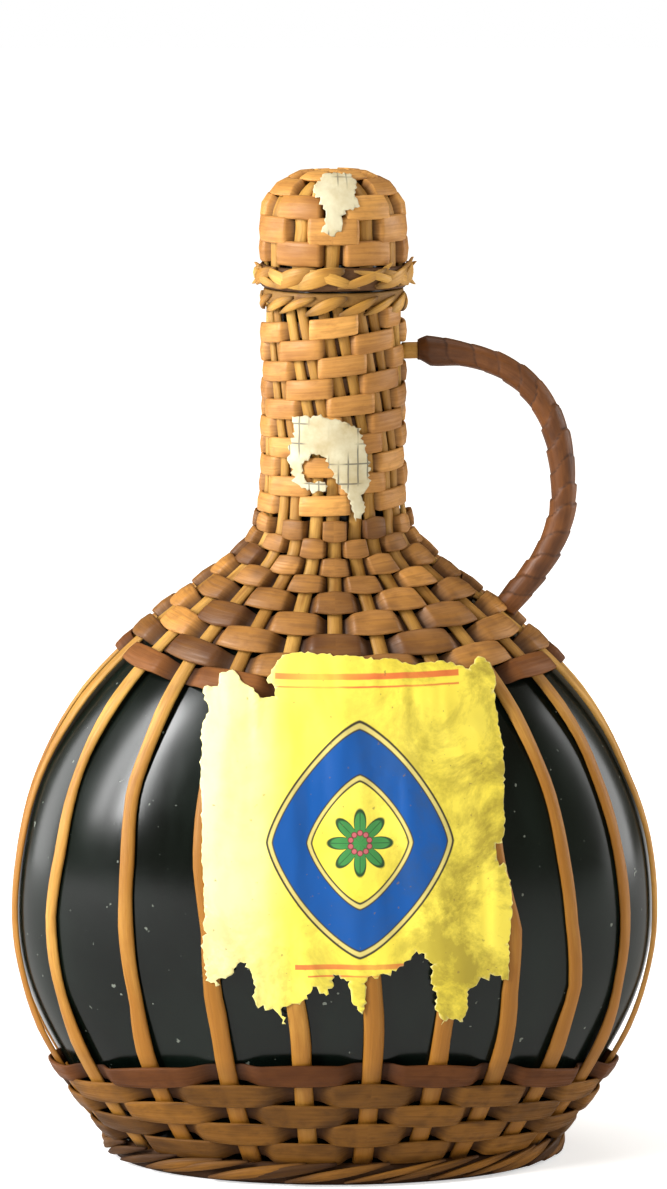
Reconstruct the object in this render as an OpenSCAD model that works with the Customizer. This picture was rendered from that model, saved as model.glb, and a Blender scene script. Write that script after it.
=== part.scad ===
// Flattened glass wine flask in a woven cane jacket, with a wrapped side handle,
// a natural cork and a loose woven hood over the mouth.
// Millimetres, +Z up. The origin is on the resting plane, under the middle of the neck.
// The front of the flask, with the label, faces -Y, and the handle is on +X.

/* [Glass] */
// Widest part of the glass, side to side
glass_w = 154.6; // [135:0.1:175]
// Depth of the glass as a share of its width
flat_share = 0.54; // [0.48:0.01:0.62]
// Height of the widest part above the resting plane
belly_z = 61; // [56:0.5:66]
// Height at which the shoulder has run into the neck
throat_z = 158; // [155:0.5:160]
// Height of the mouth above the upper edge of the neck jacket
mouth_rise = 15; // [13:0.5:17]
// Outside diameter of the neck where the shoulder ends
neck_d = 28.4; // [27.6:0.1:29.6]
// Outside diameter of the neck at the mouth
mouth_d = 26.8; // [26.4:0.1:27.2]
// Diameter of the bore that takes the cork
bore_d = 18.6; // [17.6:0.1:19.6]
// Thickness of the glass wall
wall = 3; // [2.2:0.1:3.4]
// Thickness of the glass bottom
floor_t = 5; // [4:0.1:7]
// Half width of the flat bottom of the glass
heel_r = 50; // [46:0.5:54]
// Height of the dished middle under the glass
punt_h = 3; // [1:0.1:4]
// Height of the ring round the mouth
lip_h = 6; // [4:0.5:8]
// How far the ring round the mouth stands proud
lip_out = 0.3; // [0.1:0.05:0.4]

/* [Cane jacket] */
// Number of upright stakes, an even number
stakes = 22; // [18:2:26]
// Width of a stake on the belly
stake_w = 4.6; // [3.4:0.1:5.4]
// Width of a stake on the neck, where the stakes run in pairs
neck_stake_w = 2.9; // [2:0.1:3.1]
// Thickness of a stake
stake_t = 1.05; // [0.8:0.05:1.2]
// Width of a woven strip on the body
strip_w = 4.5; // [3.2:0.1:4.7]
// Width of the strip woven round the neck
neck_strip_w = 4; // [3:0.1:4.1]
// Thickness of a woven strip
strip_t = 0.7; // [0.5:0.05:0.8]
// Gap left between pieces of cane that cross
weave_gap = 0.2; // [0.15:0.01:0.3]
// Gap between the glass and the strips that run behind the stakes
glass_gap = 0.3; // [0.25:0.01:0.5]
// Gap between the bare glass and the stakes that cross it
bare_gap = 0.5; // [0.45:0.01:0.8]
// Width of the dark bark bands that close the woven parts
band_w = 5; // [4:0.1:5.6]
// Height of the dark band that ends the woven shoulder, in front
shoulder_band_z = 118.4; // [116:0.1:120]
// Height of the lowest woven row of the shoulder, in front
shoulder_row_z = 123.4; // [123:0.1:126]
// How much higher that row and the band run at the narrow sides than in front
shoulder_rise = 4.2; // [3:0.1:4.4]
// Height of the first turn of the neck strip above the end of the shoulder
neck_row_rise = 3.4; // [2:0.1:5]
// Height from one turn of the neck strip to the next
neck_pitch = 4.65; // [4.4:0.05:4.7]
// Height of the upper edge of the neck jacket
jacket_top_z = 211; // [210:0.1:211.4]
// Height of the twisted edge that closes the neck jacket
neck_edge_h = 2.6; // [2:0.1:3]
// Height of the lowest woven row of the base at the narrow sides
base_row_z = 9.6; // [9.5:0.1:10.2]
// Height from one base row to the next at the narrow sides
base_pitch = 3.55; // [3.5:0.05:3.7]

/* [Foot] */
// Height of the twisted foot
foot_h = 5.8; // [5:0.1:5.8]
// Thickness of the bent cane inside the foot
foot_core_t = 2.4; // [1.8:0.1:2.8]
// Height of the glass above the resting plane
seat_z = 3; // [2.9:0.05:3.6]

/* [Handle] */
// Distance from the middle of the neck to the middle of the handle
handle_reach = 55; // [50:0.5:62]
// Height of the outermost point of the handle
handle_side_z = 162; // [158:0.5:168]
// Diameter of the bent cane in the handle
handle_d = 4; // [3.6:0.1:4.6]
// Thickness of the bark strip wound round the handle
wrap_t = 0.7; // [0.5:0.05:0.9]
// Number of turns of the bark strip
wrap_turns = 15; // [10:1:20]

/* [Cork and hood] */
// Length of the cork inside the bore
cork_in = 30; // [22:0.5:36]
// Height of the cork above the mouth
cork_out = 9.2; // [8.6:0.1:9.4]
// Diameter of the cork in the bore
cork_d = 18.2; // [17.2:0.1:18.2]
// Inside radius of the woven hood
hood_r = 14; // [14:0.05:14.6]
// Gap between the neck jacket and the lower edge of the hood
hood_gap = 0.9; // [0.8:0.1:1.6]
// Number of stakes of the hood, an even number
hood_stakes = 12; // [10:2:14]
// Width of the strips woven round the hood
hood_strip_w = 4.5; // [3.6:0.1:4.6]

/* [Papers] */
// Width of the label
label_w = 72; // [60:0.5:80]
// Height of the label where it isn't torn
label_h = 75; // [66:0.5:80]
// Height of the lower edge of the label where it isn't torn
label_z = 52; // [50:0.5:58]
// How far the label sits right of the middle
label_x = 5; // [0:0.5:8]
// Thickness of the label
label_t = 0.3; // [0.2:0.02:0.4]
// Thickness of the seal papers
seal_t = 0.25; // [0.2:0.01:0.3]

/* [Hidden] */
$fn = 64;

// Heights that follow from the neck jacket's upper edge and from the end of the shoulder
mouth_z = jacket_top_z + mouth_rise;
hood_z = jacket_top_z + hood_gap;
neck_row_z = throat_z + neck_row_rise;
shoulder_rows = 8;
shoulder_top_gap = 2.4;
shoulder_pitch = (throat_z - shoulder_top_gap - shoulder_row_z) / (shoulder_rows - 1);
base_rows = 4;

// Steps of the curved outlines and the overrun of cuts
curve_steps = 14;
over = 1;
// Layers of the jacket, outward from the glass
stake_at = glass_gap + strip_t + weave_gap;
over_at = stake_at + stake_t + weave_gap;
jacket_t = over_at + strip_t;

// Colours of the materials
glass_green = [0.07, 0.12, 0.10];
cane_pale = [0.87, 0.69, 0.43];
cane_tan = [0.76, 0.54, 0.32];
bark_brown = [0.43, 0.26, 0.18];
wrap_brown = [0.49, 0.31, 0.20];
cork_tan = [0.80, 0.64, 0.45];
label_yellow = [0.93, 0.88, 0.43];
paper_cream = [0.93, 0.91, 0.80];

// A point on a cubic curve with four control points
function curve(a, b, c, d, t) =
    pow(1 - t, 3) * a + 3 * pow(1 - t, 2) * t * b + 3 * (1 - t) * t * t * c + pow(t, 3) * d;
function curve_points(a, b, c, d) =
    [for (i = [0 : curve_steps]) curve(a, b, c, d, i / curve_steps)];

// Outline of the glass side, [half width, height], from the heel up to the throat
half_w = glass_w / 2;
throat_inset = 0.5;
throat_r = neck_d / 2 - lip_out - throat_inset;
lower_rise = belly_z - seat_z;
upper_rise = throat_z - belly_z;
heel_pull_share = 0.74;
heel_lift_share = 0.41;
belly_lower_share = 0.3;
belly_upper_share = 0.68;
throat_share = 0.185;
lower_side = curve_points([heel_r, seat_z],
    [heel_r + (half_w - heel_r) * heel_pull_share, seat_z + lower_rise * heel_lift_share],
    [half_w, belly_z - lower_rise * belly_lower_share], [half_w, belly_z]);
upper_side = curve_points([half_w, belly_z], [half_w, belly_z + upper_rise * belly_upper_share],
    [throat_r, throat_z - upper_rise * throat_share], [throat_r, throat_z]);
side = concat(lower_side, [for (i = [1 : curve_steps]) upper_side[i]]);

// Half width of the body and radius of the neck at a height
throat_fade = neck_d / 2;
side_table = concat([for (p = side) [p[1], p[0]]], [[throat_z + throat_fade, throat_r / 2]]);
function body_r(z) = lookup(z, side_table);
function neck_r(z) = lookup(z, [[throat_z, neck_d / 2], [mouth_z, mouth_d / 2]]);

// The jacket follows a smooth skin round both, oval below and round above
blend_power = 8;
function skin_max(a, b) = pow(pow(a / b, blend_power) + 1, 1 / blend_power) * b;
function half_x(z) = skin_max(body_r(z), neck_r(z));
function half_y(z) = skin_max(body_r(z) * flat_share, neck_r(z));
slope_step = strip_w / 4;
function slope_x(z) = (half_x(z + slope_step) - half_x(z - slope_step)) / (2 * slope_step);
function slope_y(z) = (half_y(z + slope_step) - half_y(z - slope_step)) / (2 * slope_step);
// A point at angle t from the front, at height z, standing h off the skin
function skin(t, z, h) = let (sx = slope_x(z), sy = slope_y(z), nx = norm([1, sx]), ny = norm([1, sy]))
    [(half_x(z) + h / nx) * sin(t), -(half_y(z) + h / ny) * cos(t),
     z - h * (sx / nx * pow(sin(t), 2) + sy / ny * pow(cos(t), 2))];
// Angle that a length along the skin covers, and height that a length up the skin covers
function reach_angle(t, z, w) = w / norm([half_x(z) * cos(t), half_y(z) * sin(t)]) * 180 / PI;
function up_share(t, z) =
    1 / norm([1, slope_x(z) * pow(sin(t), 2) + slope_y(z) * pow(cos(t), 2)]);

// Places of the stakes: evenly spread round the oval, in pairs up the neck
stake_step = 360 / stakes;
pair_step = 2 * stake_step;
front_phase = 0.8;
crowd = 6.1;
belly_lean = 8.5;
neck_twist = 31;
twist_z = throat_z + neck_d / 2;
pair_gap = 0.35;
pair_run = 5;
pair_end_z = throat_z + 1 / 5 * pair_run;
function crowd_at(z) = crowd * (1 - half_y(z) / half_x(z)) / (1 - flat_share);
function twist_at(z) = -neck_twist * max(0, z - twist_z) / (jacket_top_z - twist_z);
function lean_at(z) = lookup(z, [[belly_z - lower_rise / 4, belly_lean], [shoulder_row_z, 0]]);
function pair_pull(z) = stake_step / 2 - reach_angle(0, z, (neck_stake_w + pair_gap) / 2);
function pair_at(z) = lookup(z, [[pair_end_z - pair_run, 0], [pair_end_z, pair_pull(z)]]);
function stake_angle(i, z) = let (f = i * stake_step + front_phase,
        g = f + lean_at(z) * pow(cos(f), 2) + (i % 2 == 0 ? -1 : 1) * pair_at(z))
    g - crowd_at(z) * sin(2 * g) + twist_at(z);
function pair_angle(j, z) = (j - 1 / 4) * pair_step + front_phase + twist_at(z);
shoulder_stake_share = 0.8;
function stake_width(z) = lookup(z, [[belly_z, stake_w], [shoulder_band_z, stake_w * shoulder_stake_share],
    [throat_z, neck_stake_w]]);

// The shoulder's weave runs higher at the narrow sides, most on the side without the handle
rise_lean_share = 1 / 3;
rise_power = 1.35;
function side_rise(t) = shoulder_rise * pow(sin(t), 2) * (1 - rise_lean_share * sin(t));
function shoulder_z(k, t) = shoulder_row_z + (k - 1) * shoulder_pitch
    + side_rise(t) * pow((shoulder_rows - k) / (shoulder_rows - 1), rise_power);

// A tube of rings with equal numbers of points, closed on itself or capped at both ends
module loft(rings, closed = false) {
    m = len(rings[0]);
    n = len(rings);
    spans = closed ? n : n - 1;
    sides = [for (s = [0 : spans - 1], k = [0 : m - 1])
        let (a = s * m + k, b = s * m + (k + 1) % m, e = (s + 1) % n * m)
        each [[a, e + k, b], [b, e + k, e + (k + 1) % m]]];
    first = [for (k = [0 : m - 1]) k];
    last = [for (k = [0 : m - 1]) n * m - 1 - k];
    polyhedron(points = [for (r = rings, p = r) p],
        faces = closed ? sides : concat(sides, [first, last]), convexity = 10);
}

// One section across a strip that stands h off the skin
function strip_ring(t, z, w, h) = let (up = w / 2 * up_share(t, z))
    [skin(t, z - up, h), skin(t, z + up, h), skin(t, z + up, h + strip_t), skin(t, z - up, h + strip_t)];

// One closed row round the stakes, over those of its parity and under the others.
// Its height and its width are functions of the angle.
edge_room = 0.35;
module woven_row(z_at, w_at, parity) {
    loft([for (i = [0 : stakes - 1], s = [-1, 1])
        let (t = stake_angle(i, z_at(i * stake_step)), z = z_at(t),
            a = t + s * reach_angle(t, z, stake_width(z) / 2 + edge_room),
            h = i % 2 == parity ? over_at : glass_gap)
        strip_ring(a, z_at(a), w_at(a), h)], closed = true);
}

// The strip that winds up the neck, over and under the pairs of stakes, with a break at the handle
pairs = stakes / 2;
tilt_max = 1.8;
handle_pair = 3;
neck_last = round((jacket_top_z - neck_edge_h - neck_strip_w - neck_row_z) / neck_pitch * pairs);
break_turn = round((neck_last - handle_pair) / pairs) - 2;
break_at = break_turn * pairs + handle_pair;
function tilt_at(z) = lookup(z, [[twist_z, 0], [jacket_top_z, tilt_max]]);
function neck_z(n) = neck_row_z + neck_pitch * n / pairs;
function tilted(z, t) = z + tilt_at(z) * sin(t);
function crossing(n) = n == break_at ? [-1, 0] : n == break_at + 1 ? [1]
    : n % 2 == 0 ? [-1, 0, 1] : [-1, 1];
// It starts as a narrow tongue, on top of the shoulder's last row
neck_lead = 7;
neck_low_z = throat_z - shoulder_top_gap + strip_w / 2;
function neck_w(n) = min(neck_strip_w, 2 * (neck_z(n) - neck_low_z));
module neck_strip(first, last) {
    half = neck_stake_w + pair_gap / 2 + edge_room;
    color(cane_tan) loft([for (n = [first : last], s = crossing(n))
        let (j = n % pairs, z = tilted(neck_z(n), pair_angle(j, neck_z(n))),
            a = pair_angle(j, z) + s * reach_angle(0, z, half))
        strip_ring(a, tilted(neck_z(n), a), neck_w(n), n % 2 == 0 ? over_at : stake_at - strip_t)]);
}

// Heights at which a stake bends, from the foot up to the neck edge
base_rise = 6.5;
base_top_gap = 0.5;
base_top_z = base_row_z + base_rows * base_pitch + base_rise + band_w / 2 + base_top_gap;
waist_z = shoulder_band_z - band_w;
gather_z = shoulder_row_z + 3 * shoulder_pitch;
stake_top_gap = 1;
stake_top_z = jacket_top_z - stake_top_gap;
function between(a, b, n) = [for (k = [0 : n - 1]) a + (b - a) * k / n];
stake_heights = concat(between(foot_h + weave_gap, base_top_z, 3), between(base_top_z, waist_z, 6),
    between(waist_z, gather_z, 4), between(gather_z, pair_end_z, 5),
    between(pair_end_z, twist_z, 2), between(twist_z, stake_top_z, 3), [stake_top_z]);
function stake_lift(z) = lookup(z, [[base_top_z, stake_at],
    [stake_heights[4], bare_gap], [stake_heights[8], bare_gap], [waist_z, stake_at]]);
crown_share = 0.72;
module stake(i) {
    loft([for (z = stake_heights)
        let (t = stake_angle(i, z), h = stake_lift(z), d = reach_angle(t, z, stake_width(z) / 2))
        [skin(t + d, z, h), skin(t - d, z, h),
         skin(t - d * crown_share, z, h + stake_t), skin(t + d * crown_share, z, h + stake_t)]]);
}

module stakes_all() {
    color(cane_pale) for (i = [0 : stakes - 1]) stake(i);
}

// An outline turned round the upright axis and flattened, made of four quarters
module oval(outline, flat) {
    for (k = [0 : 3]) scale([1, flat, 1]) rotate([0, 0, k * 90])
        rotate_extrude(angle = 90) polygon(outline);
}

// The glass, with its hollow, its bore and the ring round the mouth
module glass_bottle() {
    inner_w = half_w - wall;
    inner_flat = (half_w * flat_share - wall) / inner_w;
    inner_side = [for (p = side) [p[0] - wall, p[1]]];
    kept = [for (p = inner_side) if (p[1] > seat_z + floor_t && p[0] > bore_d / 2 + wall / 3) p];
    floor_r = kept[0][0] - wall;
    top = kept[len(kept) - 1];
    punt_w = heel_r * 2 / 3;
    color(glass_green) difference() {
        union() {
            oval(concat([[0, seat_z]], side, [[0, throat_z]]), flat_share);
            translate([0, 0, throat_z - neck_d])
                cylinder(h = neck_d, d = neck_d);
            translate([0, 0, throat_z])
                cylinder(h = mouth_z - throat_z, d1 = neck_d, d2 = mouth_d);
            translate([0, 0, mouth_z - lip_h]) cylinder(h = lip_h, d = mouth_d + 2 * lip_out);
        }
        oval(concat([[0, seat_z + floor_t], [floor_r, seat_z + floor_t]], kept,
            [[0, top[1]]]), inner_flat);
        translate([0, 0, throat_z - neck_d]) cylinder(h = mouth_z, d = bore_d);
        translate([0, 0, seat_z - over]) scale([1, flat_share, 1])
            cylinder(h = punt_h + over, r1 = punt_w + over, r2 = punt_w - 2 * punt_h);
    }
}

module shoulder_band() {
    color(bark_brown) woven_row(function (t) shoulder_band_z + side_rise(t), function (t) band_w, 0);
}

// The upper rows get narrower, where the shoulder curves in to the neck
row_trim = 0.1;
module shoulder_row(k) {
    w = strip_w - row_trim * max(0, k - 5);
    color(cane_tan) woven_row(function (t) shoulder_z(k, t), function (t) w, k % 2);
}

// The base rows rise towards the front and the back, most at the top, where the band ends them
base_w_share = 0.9;
base_spread = 0.25;
module base_row(k) {
    side_z = base_row_z + (k - 1) * base_pitch;
    rise = base_rise * (k - 1) / base_rows;
    side_w = strip_w * base_w_share;
    woven_row(function (t) side_z + rise * pow(cos(t), 2),
        function (t) side_w * (1 + base_spread * pow(cos(t), 2)), k % 2);
}

// A sloping wrap is a short strip laid over a ring of cane, and n of them go round it.
// The point function takes an angle, a height and a distance off the ring.
wrap_span = 1.5;
wrap_end_share = 0.6;
module slant_wraps(n, z0, z1, w, t, bulge, at) {
    step = 360 / n;
    for (i = [0 : n - 1]) loft([for (s = [0, 0.5, 1])
        let (a = (i + s * wrap_span) * step, z = z0 + (z1 - z0) * s, mid = s == 0.5,
            h = mid ? bulge : 0, e = w / 2 * (mid ? 1 : wrap_end_share))
        [at(a, z - e, h), at(a, z + e, h), at(a, z + e, h + t), at(a, z - e, h + t)]]);
}

// An upright oval ring of even thickness, with true flat faces
function oval_points(a, b) = [for (k = [0 : $fn - 1]) let (t = k * 360 / $fn) [a * cos(t), b * sin(t)]];
module oval_ring(a, b, t, h) {
    linear_extrude(h) difference() {
        polygon(oval_points(a, b));
        polygon(oval_points(a - t, b - t));
    }
}

// The edge of the neck jacket: a flat ring over the stake ends, with strips laid round it
ring_r = half_x(jacket_top_z) + over_at;
module neck_edge_core() {
    color(cane_pale) translate([0, 0, jacket_top_z - neck_edge_h]) difference() {
        cylinder(h = neck_edge_h, r = ring_r + strip_t);
        translate([0, 0, -over]) cylinder(h = neck_edge_h + 2 * over, r = ring_r);
    }
}
edge_wraps = 13;
edge_wrap_w = neck_edge_h / 2;
wrap_bulge = strip_t / 2;
module neck_edge_wraps() {
    at = function (t, z, h) let (r = ring_r + strip_t + 2 * weave_gap + h) [r * sin(t), -r * cos(t), z];
    color(cane_pale) slant_wraps(edge_wraps, jacket_top_z - neck_edge_h + edge_wrap_w / 2,
        jacket_top_z - edge_wrap_w / 3, edge_wrap_w, strip_t * 2 / 3, wrap_bulge, at);
}

// The foot: a ring of bent cane on the resting plane, with the turned stake ends laid round it
foot_in = stake_at + foot_core_t + strip_t;
foot_core_h = foot_h * 0.7;
foot_wrap_w = foot_h * 0.36;
module foot_core() {
    color(cane_tan) oval_ring(heel_r + foot_in, heel_r * flat_share + foot_in, foot_core_t, foot_core_h);
}
module foot_wraps() {
    at = function (t, z, h) let (e = foot_in + weave_gap + h)
        [(heel_r + e) * sin(t), -(heel_r * flat_share + e) * cos(t), z];
    color(cane_tan) slant_wraps(stakes, foot_wrap_w / 2, foot_h - foot_wrap_w / 2,
        foot_wrap_w, strip_t, strip_t, at);
}

// The underside: the stakes turned in below the glass, held between flat rings
spoke_share = 0.3;
ring_share = [0.4, 0.55, 0.7, 0.85];
ring_w = strip_w * 0.75;
under_t = (seat_z - weave_gap * 4) / 3;
spoke_w = 2.2;
foot_clear = foot_in - foot_core_t - weave_gap;
module underside_spokes() {
    color(cane_pale) for (i = [0 : stakes - 1])
        let (t = i * stake_step + front_phase + stake_step / 2,
            x = (heel_r + foot_clear) * sin(t), y = -(heel_r * flat_share + foot_clear) * cos(t),
            l = norm([x, y]) - spoke_w / 2)
        rotate([0, 0, atan2(y, x)])
            translate([l * spoke_share, -spoke_w / 2, under_t + weave_gap * 2])
                cube([l * (1 - spoke_share), spoke_w, under_t]);
}
module underside_rings() {
    color(cane_tan) for (k = [0, 1], s = ring_share)
        translate([0, 0, weave_gap + k * 2 * (under_t + weave_gap)])
            oval_ring(heel_r * s + ring_w / 2, heel_r * flat_share * s + ring_w / 2, ring_w, under_t);
}

// The handle runs from the break in the neck strip to the side of the shoulder, in the XZ plane
side_turn = 90;
handle_angle = (pair_angle(handle_pair, neck_z(break_at))
    + pair_angle(handle_pair + 1, neck_z(break_at))) / 2;
handle_top_z = tilted(neck_z(break_at + 0.5), handle_angle);
handle_end_z = (shoulder_z(2, side_turn) + shoulder_z(3, side_turn)) / 2;
tip_d = 1.5;
end_tip_d = 1;
tip_run = 0.5;
handle_start = skin(side_turn, handle_top_z, over_at + weave_gap);
handle_end = skin(side_turn, handle_end_z, jacket_t + handle_d / 4);
bend_out_share = 0.72;
bend_down_share = 0.68;
side_share = 0.4;
run_in_share = 0.55;
run_up_share = 0.32;
top_run = handle_reach - handle_start[0];
side_drop = handle_top_z - handle_side_z;
end_run = handle_reach - handle_end[0];
end_drop = handle_side_z - handle_end[2];
handle_path = concat(
    curve_points([handle_start[0], handle_top_z],
        [handle_start[0] + top_run * bend_out_share, handle_top_z + handle_d / 3],
        [handle_reach, handle_side_z + side_drop * bend_down_share], [handle_reach, handle_side_z]),
    [for (p = curve_points([handle_reach, handle_side_z],
        [handle_reach, handle_side_z - end_drop * side_share],
        [handle_end[0] + end_run * run_in_share, handle_end[2] + end_drop * run_up_share],
        [handle_end[0], handle_end[2]])) if (p[1] < handle_side_z) p]);
path_last = len(handle_path) - 1;
function path_point(u) = let (k = min(floor(u), path_last - 1), f = u - k)
    handle_path[k] * (1 - f) + handle_path[k + 1] * f;
function path_way(u) = let (d = path_point(min(u + 1, path_last)) - path_point(max(u - 1, 0))) d / norm(d);
handle_sides = 8;
// A round section of radius r at the point p of the handle, square to the way w
function cane_ring(p, w, r) = [for (k = [0 : handle_sides - 1]) let (a = k * 360 / handle_sides)
    [p[0] - w[1] * cos(a) * r, sin(a) * r, p[1] + w[0] * cos(a) * r]];
neck_tip = skin(side_turn, handle_top_z, glass_gap + strip_t / 2);
end_tip = skin(side_turn, handle_end_z, glass_gap + strip_t / 2);
end_way = let (d = [end_tip[0], end_tip[2]] - path_point(path_last)) d / norm(d);
module handle_core() {
    color(cane_pale) loft(concat(
        [cane_ring([neck_tip[0], handle_top_z], [1, 0], tip_d / 2),
         cane_ring([handle_start[0] - weave_gap, handle_top_z], [1, 0], tip_d / 2)],
        [for (u = [0 : 2 : path_last]) cane_ring(path_point(u), path_way(u), handle_d / 2)],
        [cane_ring(path_point(path_last) + end_way * tip_run, end_way, end_tip_d / 2),
         cane_ring([end_tip[0], end_tip[2]], end_way, end_tip_d / 2)]));
}

// The bark strip: each turn laps the one before, so that the wrap steps like tiles
wrap_from = 0.9;
wrap_to = 0.3;
wrap_step_share = 0.96;
wrap_clear = weave_gap + glass_gap / 6;
module handle_wrap() {
    first = wrap_from;
    last = path_last - wrap_to;
    turn = (last - first) / wrap_turns;
    inner = handle_d / 2 + wrap_clear;
    outer = inner + wrap_t;
    lap = wrap_t / 3;
    out = [for (i = [0 : wrap_turns - 1], s = [0, wrap_step_share])
        let (u = first + (i + s) * turn)
        cane_ring(path_point(u), path_way(u), outer + (s == 0 ? lap : 0) + (i == 0 ? lap : 0))];
    in = [for (i = [wrap_turns : -1 : 0])
        let (u = first + (i < wrap_turns ? i : i - 1 + wrap_step_share) * turn)
        cane_ring(path_point(u), path_way(u), inner)];
    color(wrap_brown) loft(concat(out, in), closed = true);
}

// A thin sheet on a grid of nodes, with the cells of the grid that are torn away left out.
// The node function gives the inner and the outer point of a column and a row.
module paper(cols, rows, at, keep) {
    function id(c, r, k) = (c * (rows + 1) + r) * 2 + k;
    function kept(c, r) = c >= 0 && r >= 0 && c < cols && r < rows && keep(c, r);
    function quad(a, b, c, d) = [[a, b, c], [a, c, d]];
    cells = [for (c = [0 : cols - 1], r = [0 : rows - 1]) if (kept(c, r)) [c, r]];
    faces = [for (q = cells) let (c = q[0], r = q[1]) each concat(
        quad(id(c, r, 1), id(c, r + 1, 1), id(c + 1, r + 1, 1), id(c + 1, r, 1)),
        quad(id(c, r, 0), id(c + 1, r, 0), id(c + 1, r + 1, 0), id(c, r + 1, 0)),
        kept(c, r - 1) ? []
            : quad(id(c, r, 0), id(c, r, 1), id(c + 1, r, 1), id(c + 1, r, 0)),
        kept(c, r + 1) ? []
            : quad(id(c, r + 1, 1), id(c, r + 1, 0), id(c + 1, r + 1, 0), id(c + 1, r + 1, 1)),
        kept(c - 1, r) ? []
            : quad(id(c, r, 0), id(c, r + 1, 0), id(c, r + 1, 1), id(c, r, 1)),
        kept(c + 1, r) ? []
            : quad(id(c + 1, r, 1), id(c + 1, r + 1, 1), id(c + 1, r + 1, 0), id(c + 1, r, 0)))];
    polyhedron(points = [for (c = [0 : cols], r = [0 : rows]) each at(c, r)], faces = faces, convexity = 6);
}

// The label lies over the stakes and over the band, torn along its lower edge
label_cols = 14;
label_rows = 7;
label_low_share = [0, 0.03, 0.06, -0.09, -0.1, 0, -0.02, -0.08, 0.02, 0.05, 0.11, -0.13, -0.05, 0, 0];
label_top_share = [-0.09, -0.11, -0.12, -0.01, 0, 0, -0.01, 0, 0, -0.01, 0, 0, 0, -0.02, -0.03];
label_on_stakes = bare_gap + stake_t + weave_gap * 2;
label_on_weave = jacket_t + weave_gap * 3;
function label_lift(z) = lookup(z, [[shoulder_band_z - 4 * band_w, label_on_stakes],
    [waist_z - band_w / 2, label_on_weave]]);
module label_paper() {
    at = function (c, r) let (x = label_x + (c / label_cols - 0.5) * label_w,
            low = label_z + label_h * label_low_share[c],
            top = label_z + label_h * (1 + label_top_share[c]),
            z = low + (top - low) * r / label_rows, h = label_lift(z), t = asin(x / (half_x(z) + h)))
        [skin(t, z, h), skin(t, z, h + label_t)];
    color(label_yellow) paper(label_cols, label_rows, at, function (c, r) true);
}

// The torn seal on the neck
neck_seal_w = 21.4;
neck_seal_x = -0.9;
neck_seal_h = 25.6;
neck_seal_cells = 6;
neck_seal_keep = [[0, 0, 0, 0, 1, 0], [0, 0, 0, 1, 1, 1], [1, 1, 0, 1, 1, 1],
    [1, 0, 0, 1, 1, 1], [1, 1, 1, 1, 1, 1], [1, 1, 1, 1, 0, 0]];
module neck_seal_paper() {
    h = jacket_t + weave_gap;
    at = function (c, r) let (z = throat_z + r / neck_seal_cells * neck_seal_h,
            x = neck_seal_x + (c / neck_seal_cells - 0.5) * neck_seal_w,
            t = x / (neck_d / 2 + h) * 180 / PI)
        [skin(t, z, h), skin(t, z, h + seal_t)];
    color(paper_cream) paper(neck_seal_cells, neck_seal_cells, at,
        function (c, r) neck_seal_keep[r][c] == 1);
}

// The cork swells where it stands out of the mouth
cork_head_w = 20.6;
cork_edge = 2.4;
cork_chamfer = 0.7;
cork_swell = 1;
module cork() {
    color(cork_tan) translate([0, 0, mouth_z]) rotate_extrude() polygon([[0, -cork_in],
        [cork_d / 2 - cork_chamfer, -cork_in], [cork_d / 2, -cork_in + cork_edge], [cork_d / 2, weave_gap],
        [cork_head_w / 2, cork_swell], [cork_head_w / 2, cork_out - cork_edge],
        [cork_head_w / 2 - cork_edge, cork_out - weave_gap], [0, cork_out - weave_gap]]);
}

// The hood: a straight wall and a dome, followed by a length s up from where the dome starts
dome_rise = 1;
dome_z = mouth_z + dome_rise;
dome_h = cork_out + weave_gap;
dome_l = dome_h * 2;
dome_power = 0.8;
hood_stake_w = 3.5;
hood_under = 0.1;
hood_stake_at = hood_under + strip_t + 2 * weave_gap;
hood_over_at = hood_stake_at + stake_t + 2 * weave_gap;
function dome_angle(s) = 90 * s / dome_l;
function hood_radius(s) = s <= 0 ? hood_r : hood_r * pow(cos(dome_angle(s)), dome_power);
function hood_skin(t, s, h) = let (q = dome_angle(max(s, 0)), r = hood_radius(s) + h * cos(q))
    [r * sin(t), -r * cos(t), dome_z + (s <= 0 ? s : dome_h * pow(sin(q), dome_power)) + h * sin(q)];
hood_step = 360 / hood_stakes;
hood_row_pitch = 5.05;
hood_row_s = -6.2;
hood_stake_end = dome_l * 0.9;
hood_fill_share = 0.6;
function hood_width(s) = min(hood_stake_w, hood_radius(s) * hood_step * PI / 180 * hood_fill_share);
function hood_reach(s, w) = w / (hood_radius(s) + hood_stake_at) * 180 / PI;
hood_stake_gap = 1;
module hood_stakes() {
    low = hood_z + hood_stake_gap - dome_z;
    color(cane_pale) for (i = [0 : hood_stakes - 1])
        loft([for (s = concat([low, 0], [for (k = [1 : 4]) hood_stake_end * k / 4]))
            let (t = i * hood_step, d = hood_reach(s, hood_width(s) / 2))
            [hood_skin(t + d, s, hood_stake_at), hood_skin(t - d, s, hood_stake_at),
             hood_skin(t - d * crown_share, s, hood_stake_at + stake_t),
             hood_skin(t + d * crown_share, s, hood_stake_at + stake_t)]]);
}
module hood_row(k) {
    s = hood_row_s + (k - 1) * hood_row_pitch;
    half = hood_strip_w / 2;
    color(cane_tan) loft([for (i = [0 : hood_stakes - 1], e = [-1, 1])
        let (t = i * hood_step + e * hood_reach(s, hood_width(s) / 2 + edge_room),
            h = (i + k) % 2 == 0 ? hood_over_at : hood_under)
        [hood_skin(t, s - half, h), hood_skin(t, s + half, h),
         hood_skin(t, s + half, h + strip_t), hood_skin(t, s - half, h + strip_t)]], closed = true);
}
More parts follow.
